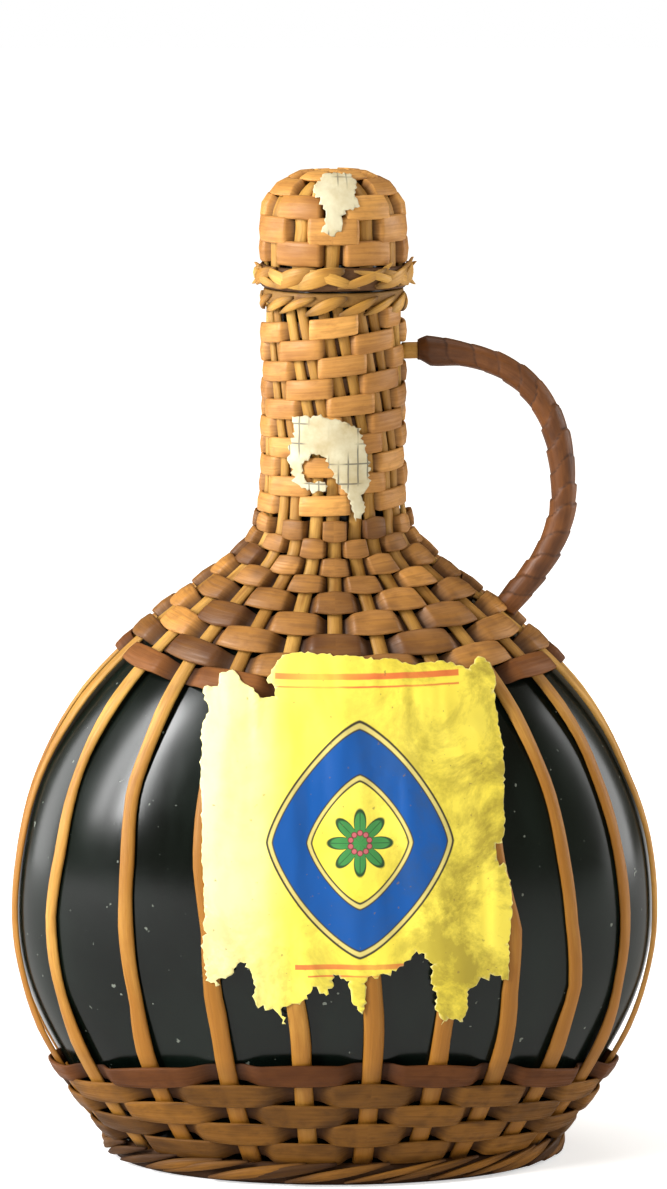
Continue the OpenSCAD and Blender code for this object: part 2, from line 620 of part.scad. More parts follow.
// The knot of cane that holds the stake ends together on top and rests on the cork
knot_r = 4.2;
knot_stem_r = 1.5;
knot_round_share = 0.9;
module hood_knot() {
    low = mouth_z + cork_out;
    top = dome_z + dome_h + hood_stake_at + stake_t + weave_gap;
    color(cane_tan) rotate_extrude() polygon([[0, low], [knot_stem_r, low], [knot_stem_r, top],
        [knot_r, top], [knot_r * knot_round_share, top + strip_t * knot_round_share], [0, top + strip_t]]);
}
// The braided rim of the hood
rim_h = 6;
rim_core_t = 1.5;
rim_wrap_w = rim_h * 0.4;
rim_r = hood_r + hood_stake_at + stake_t + weave_gap;
module hood_rim_core() {
    color(cane_tan) translate([0, 0, hood_z]) difference() {
        cylinder(h = rim_h, r = rim_r + rim_core_t);
        translate([0, 0, -over]) cylinder(h = rim_h + 2 * over, r = rim_r);
    }
}
module hood_rim_wraps() {
    at = function (t, z, h) let (r = rim_r + rim_core_t + 2 * weave_gap + h) [r * sin(t), -r * cos(t), z];
    color(cane_pale) slant_wraps(hood_stakes, hood_z + rim_wrap_w / 2, hood_z + rim_h - rim_wrap_w / 2,
        rim_wrap_w, strip_t, strip_t, at);
}
// The scrap of seal that runs over the edge of the hood
hood_seal_w = 11.4;
hood_seal_s = -3;
hood_seal_l = 14;
hood_seal_x = 1;
hood_seal_cols = 3;
hood_seal_rows = 5;
module hood_seal_paper() {
    h = hood_over_at + strip_t + weave_gap;
    at = function (c, r) let (s = hood_seal_s + hood_seal_l * r / hood_seal_rows,
            x = hood_seal_x + (c / hood_seal_cols - 0.5) * hood_seal_w,
            t = x / (hood_radius(s) + h) * 180 / PI)
        [hood_skin(t, s, h), hood_skin(t, s, h + seal_t)];
    color(paper_cream) paper(hood_seal_cols, hood_seal_rows, at, function (c, r) true);
}

glass_bottle();
stakes_all();  // stakes
shoulder_band();
shoulder_row(1);  // shoulder_row_1
shoulder_row(2);  // shoulder_row_2
shoulder_row(3);  // shoulder_row_3
shoulder_row(4);  // shoulder_row_4
shoulder_row(5);  // shoulder_row_5
shoulder_row(6);  // shoulder_row_6
shoulder_row(7);  // shoulder_row_7
shoulder_row(8);  // shoulder_row_8
color(bark_brown) base_row(5);  // base_band
color(cane_tan) base_row(1);  // base_row_1
color(cane_tan) base_row(2);  // base_row_2
color(cane_tan) base_row(3);  // base_row_3
color(cane_tan) base_row(4);  // base_row_4
neck_strip(-neck_lead, break_at);  // neck_strip_lower
neck_strip(break_at + 1, neck_last);  // neck_strip_upper
neck_edge_core();
neck_edge_wraps();
foot_core();
foot_wraps();
underside_spokes();
underside_rings();
handle_core();
handle_wrap();
label_paper();
neck_seal_paper();
cork();
hood_stakes();
hood_row(1);  // hood_row_1
hood_row(2);  // hood_row_2
hood_row(3);  // hood_row_3
hood_row(4);  // hood_row_4
hood_row(5);  // hood_row_5
hood_knot();
hood_rim_core();
hood_rim_wraps();
hood_seal_paper();
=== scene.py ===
# %% [markdown]
# # A wine flask in a woven cane jacket
# The flask is flattened glass. Basket makers wove a jacket round it, of upright stakes and of
# strips that run over and under them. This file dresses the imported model: it lays every strip
# again with a rounded section, cuts the torn papers, and gives each piece its finish.

# %% Load the frame
import math
import random
import bmesh
import bpy
import numpy as np
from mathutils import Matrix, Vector


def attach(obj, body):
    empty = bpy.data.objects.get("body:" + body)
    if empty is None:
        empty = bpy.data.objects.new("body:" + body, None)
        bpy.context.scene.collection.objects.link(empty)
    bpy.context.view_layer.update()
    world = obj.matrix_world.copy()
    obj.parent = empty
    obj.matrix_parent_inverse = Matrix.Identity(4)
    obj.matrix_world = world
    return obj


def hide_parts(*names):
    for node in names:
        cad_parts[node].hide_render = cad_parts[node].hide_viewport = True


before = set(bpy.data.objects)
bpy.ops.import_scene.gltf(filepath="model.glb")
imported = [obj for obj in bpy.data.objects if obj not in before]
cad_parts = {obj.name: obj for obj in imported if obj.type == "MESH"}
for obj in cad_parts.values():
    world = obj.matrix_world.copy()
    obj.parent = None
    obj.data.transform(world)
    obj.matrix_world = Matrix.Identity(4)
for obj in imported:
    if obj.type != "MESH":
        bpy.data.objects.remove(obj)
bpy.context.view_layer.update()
mm = 0.001

# %% [markdown]
# ## The skin that the jacket follows
# Every strip lies at some distance from the glass, so the first thing to have is a function
# that gives a point on the glass for an angle and a height. The glass is a turned outline,
# flattened from front to back, that runs into a round neck. These are the same sizes as in
# the solids, in millimetres.

# %% The glass outline
glass_w, flat_share, belly_z, throat_z, mouth_z = 154.6, 0.54, 61, 158, 226
neck_d, mouth_d, bore_d, wall, heel_r, seat_z = 28.4, 26.8, 18.6, 3, 50, 3
lip_h, lip_out = 6, 0.3
half_w = glass_w / 2
throat_r = neck_d / 2 - lip_out - 0.5


def bend(a, b, c, d, steps):
    """Points along a cubic curve with four control points."""
    t = np.linspace(0, 1, steps + 1)[:, None]
    a, b, c, d = (np.array(p, float) for p in (a, b, c, d))
    return (1 - t) ** 3 * a + 3 * (1 - t) ** 2 * t * b + 3 * (1 - t) * t * t * c + t ** 3 * d


low_rise, top_rise = belly_z - seat_z, throat_z - belly_z
side = np.concatenate([
    bend((heel_r, seat_z), (heel_r + (half_w - heel_r) * 0.74, seat_z + low_rise * 0.41),
         (half_w, belly_z - low_rise * 0.3), (half_w, belly_z), 60),
    bend((half_w, belly_z), (half_w, belly_z + top_rise * 0.68),
         (throat_r, throat_z - top_rise * 0.185), (throat_r, throat_z), 90)[1:]])
side_z = np.append(side[:, 1], throat_z + neck_d / 2)
side_r = np.append(side[:, 0], throat_r / 2)


def half_at(z, share):
    """Half the width of the skin at a height: the body's, smoothly handed over to the neck's."""
    body = np.interp(z, side_z, side_r) * share
    neck = np.interp(z, [throat_z, mouth_z], [neck_d / 2, mouth_d / 2])
    return ((body / neck) ** 8 + 1) ** (1 / 8) * neck


heights = np.arange(0, 240, 0.5)
table_x, table_y = half_at(heights, 1), half_at(heights, flat_share)
lean_x, lean_y = np.gradient(table_x, heights), np.gradient(table_y, heights)


def look(table, z):
    return float(np.interp(z, heights, table))


def skin(t, z, h):
    """The point at angle t (degrees from the front), at height z, standing h off the glass."""
    sx, sy = look(lean_x, z), look(lean_y, z)
    nx, ny = math.hypot(1, sx), math.hypot(1, sy)
    s, c = math.sin(math.radians(t)), math.cos(math.radians(t))
    return Vector(((look(table_x, z) + h / nx) * s, -(look(table_y, z) + h / ny) * c,
                   z - h * (sx / nx * s * s + sy / ny * c * c)))


def angle_of(t, z, width):
    """The angle that a width along the skin covers."""
    r = math.radians(t)
    return math.degrees(width / math.hypot(look(table_x, z) * math.cos(r),
                                           look(table_y, z) * math.sin(r)))


def up_share(t, z):
    """How much height a length up the skin covers."""
    s = math.sin(math.radians(t)) ** 2
    return 1 / math.hypot(1, look(lean_x, z) * s + look(lean_y, z) * (1 - s))


print("glass outline: %d points, half width %.1f mm" % (len(side), table_x.max()))

# %% [markdown]
# ## Where the stakes run
# The stakes are the warp of this basket. There are 22 round the foot. They lean a little on the
# belly, close up towards the narrow sides, and gather in pairs on the neck, where the pairs
# twist. All the strips are laid from these angles, so the stakes come before anything else.

# %% The stakes' angles and widths
stakes, pairs = 22, 11
stake_step = 360 / stakes
stake_w, neck_stake_w, stake_t, strip_t = 4.6, 2.9, 1.05, 0.7
under_h, stake_h, over_h, jacket_t = 0.3, 1.2, 2.45, 3.15
bare_h = 0.5
shoulder_band_z, shoulder_row_z, shoulder_pitch = 118.4, 123.4, 4.6
neck_row_z, neck_pitch, jacket_top_z, neck_edge_h = 161.4, 4.65, 211, 2.6
base_row_z, base_pitch, base_rise, band_w, strip_w = 9.6, 3.55, 6.5, 5, 4.5
twist_z = throat_z + neck_d / 2
base_top_z = base_row_z + 4 * base_pitch + base_rise + band_w / 2 + 0.5


def twist_at(z):
    return -0.8 * max(0, z - twist_z)


def pair_pull(z):
    return stake_step / 2 - angle_of(0, z, (neck_stake_w + 0.35) / 2)


def stake_angle(i, z):
    f = i * stake_step + 0.8
    lean = np.interp(z, [belly_z - low_rise / 4, shoulder_row_z], [8.5, 0])
    pull = np.interp(z, [throat_z - 4, throat_z + 1], [0, 1]) * pair_pull(z)
    g = f + lean * math.cos(math.radians(f)) ** 2 + (-pull if i % 2 == 0 else pull)
    crowd = 6.1 * (1 - look(table_y, z) / look(table_x, z)) / (1 - flat_share)
    return g - crowd * math.sin(math.radians(2 * g)) + twist_at(z)


def pair_angle(j, z):
    return (j - 0.25) * 2 * stake_step + 0.8 + twist_at(z)


def stake_width(z):
    return float(np.interp(z, [belly_z, shoulder_band_z, throat_z],
                           [stake_w, stake_w * 0.8, neck_stake_w]))


print("stake angles at the belly:", [round(stake_angle(i, belly_z)) for i in range(0, stakes, 4)])

# %% [markdown]
# ## Laying a strip
# A strip of cane is one section carried along a path. In Blender that can be a curve with a
# bevel, but a curve tilts where it likes, and these strips have to lie flat on an oval. So
# each strip starts as one loop of edges that is extruded again and again, and each new loop
# is moved to its place. The way along and the way across are kept as a UV map, in metres,
# because the grain of the cane follows them.

# %% The strip helper
across_shares = [-1, -0.975, -0.86, 0, 0.86, 0.975, 1, 0.9, 0, -0.9]
thick_shares = [0.4, 0.85, 1, 1.04, 1, 0.85, 0.4, 0, 0, 0]


def lay(bm, loops, along, shade, depth, closed=False):
    """Extrude a loop of points through all the others.

    Each point notes its way along and across, its tone, which also carries painted shade, and
    how deep in the weave it lies, which the finish darkens as painted shade.
    """
    notes = [bm.verts.layers.float.get(k) or bm.verts.layers.float.new(k)
             for k in ("along", "across", "shade", "depth")]
    count = len(loops[0])

    def mark(verts, n):
        for k, v in enumerate(verts):
            v.co = loops[n][k] * mm
            for note, value in zip(notes, (along[n], k / (count - 1), shade[n], depth[n])):
                v[note] = value

    first = verts = [bm.verts.new((0, 0, 0)) for _ in range(count)]
    mark(verts, 0)
    edges = [bm.edges.new((verts[k], verts[(k + 1) % count])) for k in range(count)]
    for n in range(1, len(loops)):
        grown = bmesh.ops.extrude_edge_only(bm, edges=edges)["geom"]
        fresh = {g for g in grown if isinstance(g, bmesh.types.BMVert)}
        verts = [next(e.other_vert(v) for e in v.link_edges if e.other_vert(v) in fresh) for v in verts]
        edges = [bm.edges.get((verts[k], verts[(k + 1) % count])) for k in range(count)]
        mark(verts, n)
    if closed:
        start = [bm.edges.get((first[k], first[(k + 1) % count])) for k in range(count)]
        bmesh.ops.bridge_loops(bm, edges=edges + start)
    else:
        bm.faces.new(list(reversed(first)))
        bm.faces.new(verts)


def strip_loop(t, z, w, h, thick, crown=0.0):
    """The loop across a strip that lies on the skin."""
    up = w / 2 * up_share(t, z)
    return [skin(t, z + a * up, h + b * thick + (crown * (1 - a * a) if b > 0.5 else 0))
            for a, b in zip(across_shares, thick_shares)]


def into_scene(bm, name):
    """Turn the bmesh into a smooth object at the origin."""
    for face in bm.faces:
        face.smooth = True
    mesh = bpy.data.meshes.new(name)
    bm.to_mesh(mesh)
    bm.free()
    piece = bpy.data.objects.new(name, mesh)
    bpy.context.scene.collection.objects.link(piece)
    return piece


def to_object(bm, name, length=None):
    """Add the grain's UV map, which has to close up round a loop of the given length."""
    bmesh.ops.recalc_face_normals(bm, faces=bm.faces)
    reach = bm.verts.layers.float.get("along")
    turn = bm.verts.layers.float.get("across")
    if reach:
        grain = bm.loops.layers.uv.new("grain")
        for face in bm.faces:
            us = [v[reach] for v in face.verts]
            vs = [v[turn] for v in face.verts]
            wrap = length is not None and max(us) - min(us) > length / 2
            fold = max(vs) - min(vs) > 0.7
            for loop in face.loops:
                u, v = loop.vert[reach], loop.vert[turn]
                loop[grain].uv = (u + length if wrap and u < length / 2 else u,
                                  v + 1 if fold and v < 0.3 else v)
    return into_scene(bm, name)


made = {}


def dress(piece, body, nodes, finish):
    """Ride the piece on its body in place of its solids, and give it its finish."""
    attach(piece, body)
    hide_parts(*nodes)
    piece.data.materials.clear()
    piece.data.materials.append(finish)
    made[piece.name] = sum(len(p.vertices) - 2 for p in piece.data.polygons)
    print("%-18s %6d triangles" % (piece.name, made[piece.name]))


chance = random.Random(11)


def chance_tone(middle, spread):
    return min(max(chance.gauss(middle, spread), 0), 1)


def chance_list(low, high, count):
    return [chance.uniform(low, high) for _ in range(count)]


# %% [markdown]
# ## The cane's finish
# Split cane is a bundle of fine fibres. Along the strip the colour changes slowly, across it
# there are thin darker lines, and the parts that dive under a stake are darkened as painted
# shade. All the kinds of cane here share this, so it is one node group that is given its
# lines and colours, and the shader itself stays in each material.

# %% The grain group
def group_socket(group, name, kind, into, value=None):
    socket = group.interface.new_socket(name=name, in_out="INPUT" if into else "OUTPUT", socket_type=kind)
    if value is not None:
        socket.default_value = value
    return socket


class Wiring:
    """Short calls to add nodes to a tree and join them."""

    def __init__(self, tree):
        self.tree = tree
        self.place = 0

    def add(self, kind, **settings):
        node = self.tree.nodes.new(kind)
        self.place += 1
        node.location = (self.place * 190, -(self.place % 3) * 160)
        for key, value in settings.items():
            setattr(node, key, value)
        return node

    def put(self, socket, value):
        if isinstance(value, bpy.types.NodeSocket):
            self.tree.links.new(value, socket)
        else:
            socket.default_value = value

    def math(self, operation, a, b=None, c=None, clamp=False):
        node = self.add("ShaderNodeMath", operation=operation, use_clamp=clamp)
        for socket, value in zip(node.inputs, (a, b, c)):
            if value is not None:
                self.put(socket, value)
        return node.outputs[0]

    def vector(self, operation, a, b=None):
        node = self.add("ShaderNodeVectorMath", operation=operation)
        self.put(node.inputs[0], a)
        if b is not None:
            self.put(node.inputs[1], b)
        return node.outputs[0]

    def mix(self, share, a, b, blend="MIX"):
        node = self.add("ShaderNodeMix", data_type="RGBA", blend_type=blend)
        self.put(node.inputs[0], share)
        self.put(node.inputs[6], a)
        self.put(node.inputs[7], b)
        return node.outputs[2]

    def ramp(self, value, *stops):
        """A value moved through pairs of (input, output)."""
        node = self.add("ShaderNodeMapRange", clamp=True)
        (a, b), (c, d) = stops
        for socket, v in zip(node.inputs, (value, a, c, b, d)):
            self.put(socket, v)
        return node.outputs[0]

    def noise(self, where, scale, detail=3.0, rough=0.55, distortion=0.0):
        node = self.add("ShaderNodeTexNoise")
        for label, value in (("Vector", where), ("Scale", scale), ("Detail", detail),
                             ("Roughness", rough), ("Distortion", distortion)):
            self.put(node.inputs[label], value)
        return node.outputs[0]

    def times(self, *values):
        """The product of two or more values."""
        product = values[0]
        for value in values[1:]:
            product = self.math("MULTIPLY", product, value)
        return product


def new_group(name, inputs, outputs):
    group = bpy.data.node_groups.new(name, "ShaderNodeTree")
    for label, kind, value in inputs:
        group_socket(group, label, kind, True, value)
    for label, kind in outputs:
        group_socket(group, label, kind, False)
    wiring = Wiring(group)
    return group, wiring, wiring.add("NodeGroupInput"), wiring.add("NodeGroupOutput")


grain, w, start, end = new_group("cane grain", [
    ("Way", "NodeSocketVector", None), ("Light", "NodeSocketColor", (0.6, 0.35, 0.14, 1)),
    ("Dark", "NodeSocketColor", (0.3, 0.14, 0.05, 1)), ("Lines", "NodeSocketFloat", 1.0),
    ("Shade", "NodeSocketFloat", 0.5), ("Depth", "NodeSocketFloat", 0.0),
], [("Color", "NodeSocketColor"), ("Roughness", "NodeSocketFloat"), ("Height", "NodeSocketFloat")])


def drawn_out(per_length, detail, rough, distortion=0.0):
    """Noise with so many changes a metre along the strip, and across its width."""
    return w.noise(w.vector("MULTIPLY", start.outputs["Way"], per_length), 1.0, detail, rough, distortion)


fine = drawn_out((70.0, 34.0, 1.0), 4.0, 0.6, 0.35)
broad = drawn_out((45.0, 4.0, 1.0), 2.0, 0.5)
burnt = w.ramp(drawn_out((90.0, 3.0, 1.0), 2.0, 0.5), (0.5, 0.0), (0.75, 0.8))
soil = w.ramp(drawn_out((260.0, 9.0, 1.0), 4.0, 0.6), (0.48, 0.0), (0.75, 0.5))
lines = w.times(w.ramp(fine, (0.4, 0.0), (0.66, 1.0)), start.outputs["Lines"])
tone = w.math("ADD", w.times(start.outputs["Shade"], 0.62), w.times(broad, 0.5), clamp=True)
base = w.mix(tone, start.outputs["Light"], start.outputs["Dark"])
base = w.mix(w.math("MAXIMUM", burnt, soil), base, start.outputs["Dark"])
line_tone = w.mix(0.55, start.outputs["Dark"], (0.05, 0.02, 0.01, 1))
lined = w.mix(w.times(lines, 0.32), base, line_tone)
# Painted shade: the deeper a part lies in the weave, the nearer black its colour is made
under_shaded = w.mix(w.times(start.outputs["Depth"], 0.86), lined, (0.03, 0.012, 0.006, 1))
w.put(end.inputs["Color"], under_shaded)
dull = w.math("ADD", lines, start.outputs["Depth"])
w.put(end.inputs["Roughness"], w.ramp(dull, (0.0, 0.42), (1.0, 0.68)))
w.put(end.inputs["Height"], w.math("SUBTRACT", broad, w.times(lines, 0.5)))


def finish_of(name):
    """A new material with its wiring and its Principled shader."""
    finish = bpy.data.materials.new(name)
    finish.use_nodes = True
    finish.node_tree.nodes.clear()
    wiring = Wiring(finish.node_tree)
    out = wiring.add("ShaderNodeOutputMaterial")
    shader = wiring.add("ShaderNodeBsdfPrincipled")
    wiring.put(out.inputs["Surface"], shader.outputs[0])
    return finish, wiring, shader


def bump(wiring, shader, height, strength, distance):
    node = wiring.add("ShaderNodeBump")
    node.inputs["Strength"].default_value = strength
    node.inputs["Distance"].default_value = distance
    wiring.put(node.inputs["Height"], height)
    wiring.put(shader.inputs["Normal"], node.outputs[0])


def cane_finish(name, light, dark, lines=1.0, coat=0.0, gloss=0.3):
    """Cane between two tones, with its share of fine dark lines, of varnish and of shine."""
    finish, w, shader = finish_of(name)
    way = w.add("ShaderNodeUVMap", uv_map="grain").outputs[0]
    shade = w.add("ShaderNodeAttribute", attribute_name="shade").outputs["Fac"]
    depth = w.add("ShaderNodeAttribute", attribute_name="depth").outputs["Fac"]
    node = w.add("ShaderNodeGroup")
    node.node_tree = grain
    for label, value in (("Way", way), ("Light", light), ("Dark", dark), ("Lines", lines),
                         ("Shade", shade), ("Depth", depth)):
        w.put(node.inputs[label], value)
    w.put(shader.inputs["Base Color"], node.outputs["Color"])
    w.put(shader.inputs["Roughness"], node.outputs["Roughness"])
    shader.inputs["Specular IOR Level"].default_value = gloss
    shader.inputs["Coat Weight"].default_value = coat
    shader.inputs["Coat Roughness"].default_value = 0.35
    bump(w, shader, node.outputs["Height"], 0.4, 0.0002)
    return finish


pale_cane = cane_finish("peeled cane", (0.86, 0.49, 0.105, 1), (0.3, 0.115, 0.007, 1),
                        lines=0.7, coat=0.05)
woven_cane = cane_finish("split cane", (0.84, 0.42, 0.1, 1), (0.24, 0.083, 0.012, 1),
                         lines=0.9, coat=0.06)
brown_cane = cane_finish("brown split cane", (0.72, 0.33, 0.07, 1), (0.1, 0.034, 0.005, 1), coat=0.05)
bark_cane = cane_finish("cane with bark", (0.24, 0.082, 0.017, 1), (0.045, 0.012, 0.002, 1), gloss=0.14)
faded_bark = cane_finish("faded bark", (0.44, 0.175, 0.048, 1), (0.1, 0.03, 0.006, 1), gloss=0.16)
base_cane = cane_finish("dark split cane", (0.31, 0.128, 0.016, 1), (0.024, 0.008, 0.001, 1), gloss=0.16)
wrap_bark = cane_finish("bark strip", (0.25, 0.085, 0.016, 1), (0.04, 0.011, 0.002, 1),
                        lines=0.8, coat=0.03)
print("cane finishes:", len(bpy.data.materials))

# %% [markdown]
# ## The glass
# The bottle is one outline spun round the upright axis. The body is spun first and squeezed
# from front to back, and the neck is spun by itself, because it stays round. The neck's outline
# goes over the lip and down into the bore, so that the open mouth shows when the cork is out.

# %% Spin the bottle
def spin(bm, outline, steps):
    """Spin an outline of (radius, height) in millimetres right round."""
    verts = [bm.verts.new((r * mm, 0, z * mm)) for r, z in outline]
    edges = [bm.edges.new(pair) for pair in zip(verts, verts[1:])]
    bmesh.ops.spin(bm, geom=verts + edges, cent=(0, 0, 0), axis=(0, 0, 1), angle=math.tau,
                   steps=steps, use_merge=True)


def spun(name, outlines, steps):
    """An object of one or more spun outlines, each with its share of depth."""
    bm = bmesh.new()
    for outline, flat in outlines:
        part = bmesh.new()
        spin(part, outline, steps)
        bmesh.ops.scale(part, vec=(1, flat, 1), verts=part.verts)
        bmesh.ops.remove_doubles(part, verts=part.verts, dist=1e-6)
        shell = bpy.data.meshes.new("shell")
        part.to_mesh(shell)
        part.free()
        bm.from_mesh(shell)
        bpy.data.meshes.remove(shell)
    return to_object(bm, name)


lip_r = mouth_d / 2 + lip_out
lip_edge = 1
lip_round = [(lip_r - lip_edge + lip_edge * math.cos(a), mouth_z - lip_edge + lip_edge * math.sin(a))
             for a in np.linspace(0, math.pi / 2, 7)]
neck_line = ([(neck_d / 2 - 0.05, throat_z - neck_d / 3), (neck_d / 2, throat_z),
              (neck_d / 2 - 0.45, mouth_z - lip_h - 2), (mouth_d / 2 + 0.05, mouth_z - lip_h - 0.4),
              (lip_r, mouth_z - lip_h + 0.6)] + lip_round +
             [(bore_d / 2 + 0.9, mouth_z), (bore_d / 2 + 0.2, mouth_z - 0.3), (bore_d / 2, mouth_z - 1.2),
              (bore_d / 2, throat_z - 4), (0.01, throat_z - 5)])
punt = [(0.01, seat_z + 3), (heel_r * 0.5, seat_z + 2.8), (heel_r * 0.66, seat_z + 1.2),
        (heel_r * 0.74, seat_z + 0.15), (heel_r * 0.8, seat_z)]
body_line = punt + [(float(r), float(z)) for r, z in side]
bottle = spun("bottle_glass", [(body_line, flat_share), (neck_line, 1)], 192)

# %% [markdown]
# ## The finish of the glass
# Dark bottle glass looks black until something bright stands behind the camera. What makes
# it glass is the clear reflection, so its roughness is low, and what makes it old is a veil of
# dust and small specks that lift the black to a greenish grey and blur the reflection.

# %% Glass with dust
glass, w, shader = finish_of("dark green glass")
where = w.add("ShaderNodeTexCoord").outputs["Object"]
veil = w.ramp(w.noise(where, 14.0, 4.0, 0.6, 0.8), (0.38, 0.0), (0.72, 1.0))
specks = w.ramp(w.noise(where, 480.0, 2.0, 0.5), (0.725, 0.0), (0.76, 1.0))
upright = w.vector("MULTIPLY", where, (1.0, 1.0, 0.22))
streaks = w.ramp(w.noise(upright, 60.0, 3.0, 0.6), (0.5, 0.0), (0.8, 1.0))
dirt = w.math("ADD", w.times(veil, 0.45), w.times(streaks, 0.25), clamp=True)
dirt = w.math("MAXIMUM", w.times(dirt, 0.6), w.times(specks, 0.55))
dull = w.mix(dirt, (0.0008, 0.0022, 0.0014, 1), (0.018, 0.032, 0.024, 1))
w.put(shader.inputs["Base Color"], w.mix(specks, dull, (0.14, 0.155, 0.13, 1)))
w.put(shader.inputs["Roughness"], w.ramp(dirt, (0.0, 0.17), (0.8, 0.45)))
shader.inputs["IOR"].default_value = 1.5
shader.inputs["Specular IOR Level"].default_value = 0.28
shader.inputs["Transmission Weight"].default_value = 0.0
bump(w, shader, w.noise(where, 26.0, 2.0, 0.5), 0.12, 0.0006)
dress(bottle, "flask", ["glass_bottle"], glass)

# %% [markdown]
# ## The stakes
# The stakes are half-round canes with the round side out. Each keeps its own small bends, so
# they don't look drawn with a ruler, and none of them leaves the place that its row of weaving
# gives it by more than a fraction of a millimetre.

# %% Lay the stakes
bare_from_z, bare_to_z, weave_from_z = base_top_z + 13, 97, 113.4
round_across = [-1, -0.96, -0.8, -0.45, 0, 0.45, 0.8, 0.96, 1, 0]
round_thick = [0.1, 0.42, 0.74, 0.95, 1, 0.95, 0.74, 0.42, 0.1, 0]


def bare_lift(z):
    """How far a stake stands off: close to the bare glass, and further out where strips run behind."""
    return float(np.interp(z, [base_top_z, bare_from_z, bare_to_z, weave_from_z],
                           [stake_h, bare_h, bare_h, stake_h]))


def wander(seed, step=16.0):
    """A smooth, small, random line: a function of height."""
    rng = random.Random(seed)
    knots = [rng.uniform(-1, 1) for _ in range(24)]
    return lambda z: float(np.interp(z / step, range(24), knots))


def levels_between(*runs):
    """Heights in even steps through runs of (from, to, count), each joined to the last."""
    levels = list(np.linspace(*runs[0]))
    for run in runs[1:]:
        levels += list(np.linspace(*run))[1:]
    return levels


stake_foot_z, shoulder_foot_z, woven_above_z = 6.1, 113, 117
# Between the middle two of these heights a stake crosses bare glass and is free to wander
free_heights = [base_top_z, base_top_z + 12, 100, 112]
aged_heights = [base_top_z + 4, base_top_z + 22, 100, 112]
stake_levels = levels_between((stake_foot_z, base_top_z, 10), (base_top_z, shoulder_foot_z, 22),
                              (shoulder_foot_z, throat_z, 18), (throat_z, jacket_top_z - 1, 20))
bm = bmesh.new()
for i in range(stakes):
    sway, swell = wander(i * 7 + 1), wander(i * 7 + 2, 9.0)
    loops, deep, tones = [], [], []
    tone = chance.choice((0.05, 0.2, 0.35, 0.5, 0.6)) + chance.uniform(-0.05, 0.1)
    for z in stake_levels:
        free = float(np.interp(z, free_heights, [0.15, 1, 1, 0.15]))
        t = stake_angle(i, z) + angle_of(stake_angle(i, z), z, sway(z) * 0.9 * free)
        edge_on = math.sin(math.radians(t)) ** 2
        wide = stake_width(z) * (1 + 0.13 * swell(z) * max(free, 0.3)) * (1 - 0.45 * edge_on * free)
        wide *= float(np.interp(z, [throat_z, throat_z + 12], [1, 0.86]))
        a = angle_of(t, z, wide / 2)
        h = bare_lift(z)
        loops.append([skin(t + k * a, z, h + q * (stake_t + 0.1))
                      for k, q in zip(round_across, round_thick)])
        # Painted shade: where strips run round a stake, the stake is darkened through depth
        woven = z < base_top_z - 3 or z > woven_above_z
        deep.append(0.25 if woven else 0.0)
        aged = float(np.interp(z, aged_heights, [0.95, 0.62, 0.62, 0]))
        tones.append(min(tone + aged + 0.12 * swell(z + 40), 1.2))
    lay(bm, loops, [z * mm for z in stake_levels], tones, deep)
canes = to_object(bm, "stake_canes")
dress(canes, "flask", ["stakes"], pale_cane)

# %% [markdown]
# ## The woven rows
# A row goes over one stake and under the next, right round. Real cane bends in a smooth wave,
# and between two stakes the strip slopes from one side to the other. So each row is a closed
# loop whose distance off the glass follows such a wave. Each piece that lies on top gets its
# own tone, height and width by chance, because no two splits of cane are alike.

# %% Weave the shoulder and the base
def wave(x, stay, hold):
    """From 1 over a stake to 0 under the next: flat for the share stay, then for the share hold."""
    q = min(max((x - stay) / (1 - stay - hold), 0), 1)
    return 0.5 + 0.5 * math.cos(math.pi * q)


# How much of the way to the next stake a strip stays on top
row_stay, neck_stay, hood_stay = 0.5, 0.58, 0.66


def weave(bm, z_at, w_at, parity, thick=strip_t + 0.1, crown=0.32, rough=1.0, swell=0.3, arch=0.2,
          front_tone=0.0, steps=8):
    """One closed row: over the stakes of its parity and under the others.

    Height and width are functions of the angle. The strip narrows by the share swell where it
    dives, and stands off by arch in the middle of each rise.
    """
    angles = [stake_angle(i, z_at(i * stake_step)) for i in range(stakes)]
    lifts = [chance.uniform(-0.12, 0.3) * rough for _ in angles]
    drifts = [chance.uniform(-0.28, 0.28) * rough for _ in angles]
    swells = [1 + chance.uniform(-0.09, 0.05) * rough for _ in angles]
    tones = [chance_tone(0.42, 0.24) for _ in angles]
    loops, along, shade, depth = [], [], [], []
    way = 0.0
    for i in range(stakes):
        a, b = angles[i], angles[(i + 1) % stakes]
        if b < a:
            b += 360
        top_now = i % 2 == parity
        mid, z = math.radians((a + b) / 2), z_at((a + b) / 2)
        radius = math.hypot(look(table_x, z) * math.cos(mid), look(table_y, z) * math.sin(mid))
        span = radius * math.radians(b - a)
        hold = min(0.5 * stake_width(z) / span + 0.04, 0.34)
        k, m = i, (i + 1) % stakes
        over, under = (k, m) if top_now else (m, k)
        for n in range(2 * steps):
            x = n / (2 * steps)
            far = x if top_now else 1 - x
            up = wave(far, row_stay, hold)
            drift = drifts[k] * (1 - x) + drifts[m] * x
            wide = swells[k] * (1 - x) + swells[m] * x
            t = a + (b - a) * x
            h = under_h + (over_h - under_h + lifts[over]) * up + arch * max(1 - (far / 0.7) ** 2, 0)
            loops.append(strip_loop(t, z_at(t) + drift, w_at(t) * wide * (1.05 - swell * far ** 1.5),
                                    h, thick, crown * (0.3 + 0.7 * up)))
            along.append(way + span * x * mm)
            # Painted shade: each piece darkens towards the end where it dives under a stake, and front_tone
            # darkens the front of the row
            shade.append(tones[over] * (0.35 + 0.65 * up) + tones[under] * 0.35 * (1 - up)
                         + 0.6 * far ** 2 + front_tone * math.cos(math.radians(t)))
            # Painted shade: the dives under the stakes are darkened through depth
            depth.append((1 - up) ** 1.4)
        way += span * mm
    lay(bm, loops, along, shade, depth, closed=True)
    return way


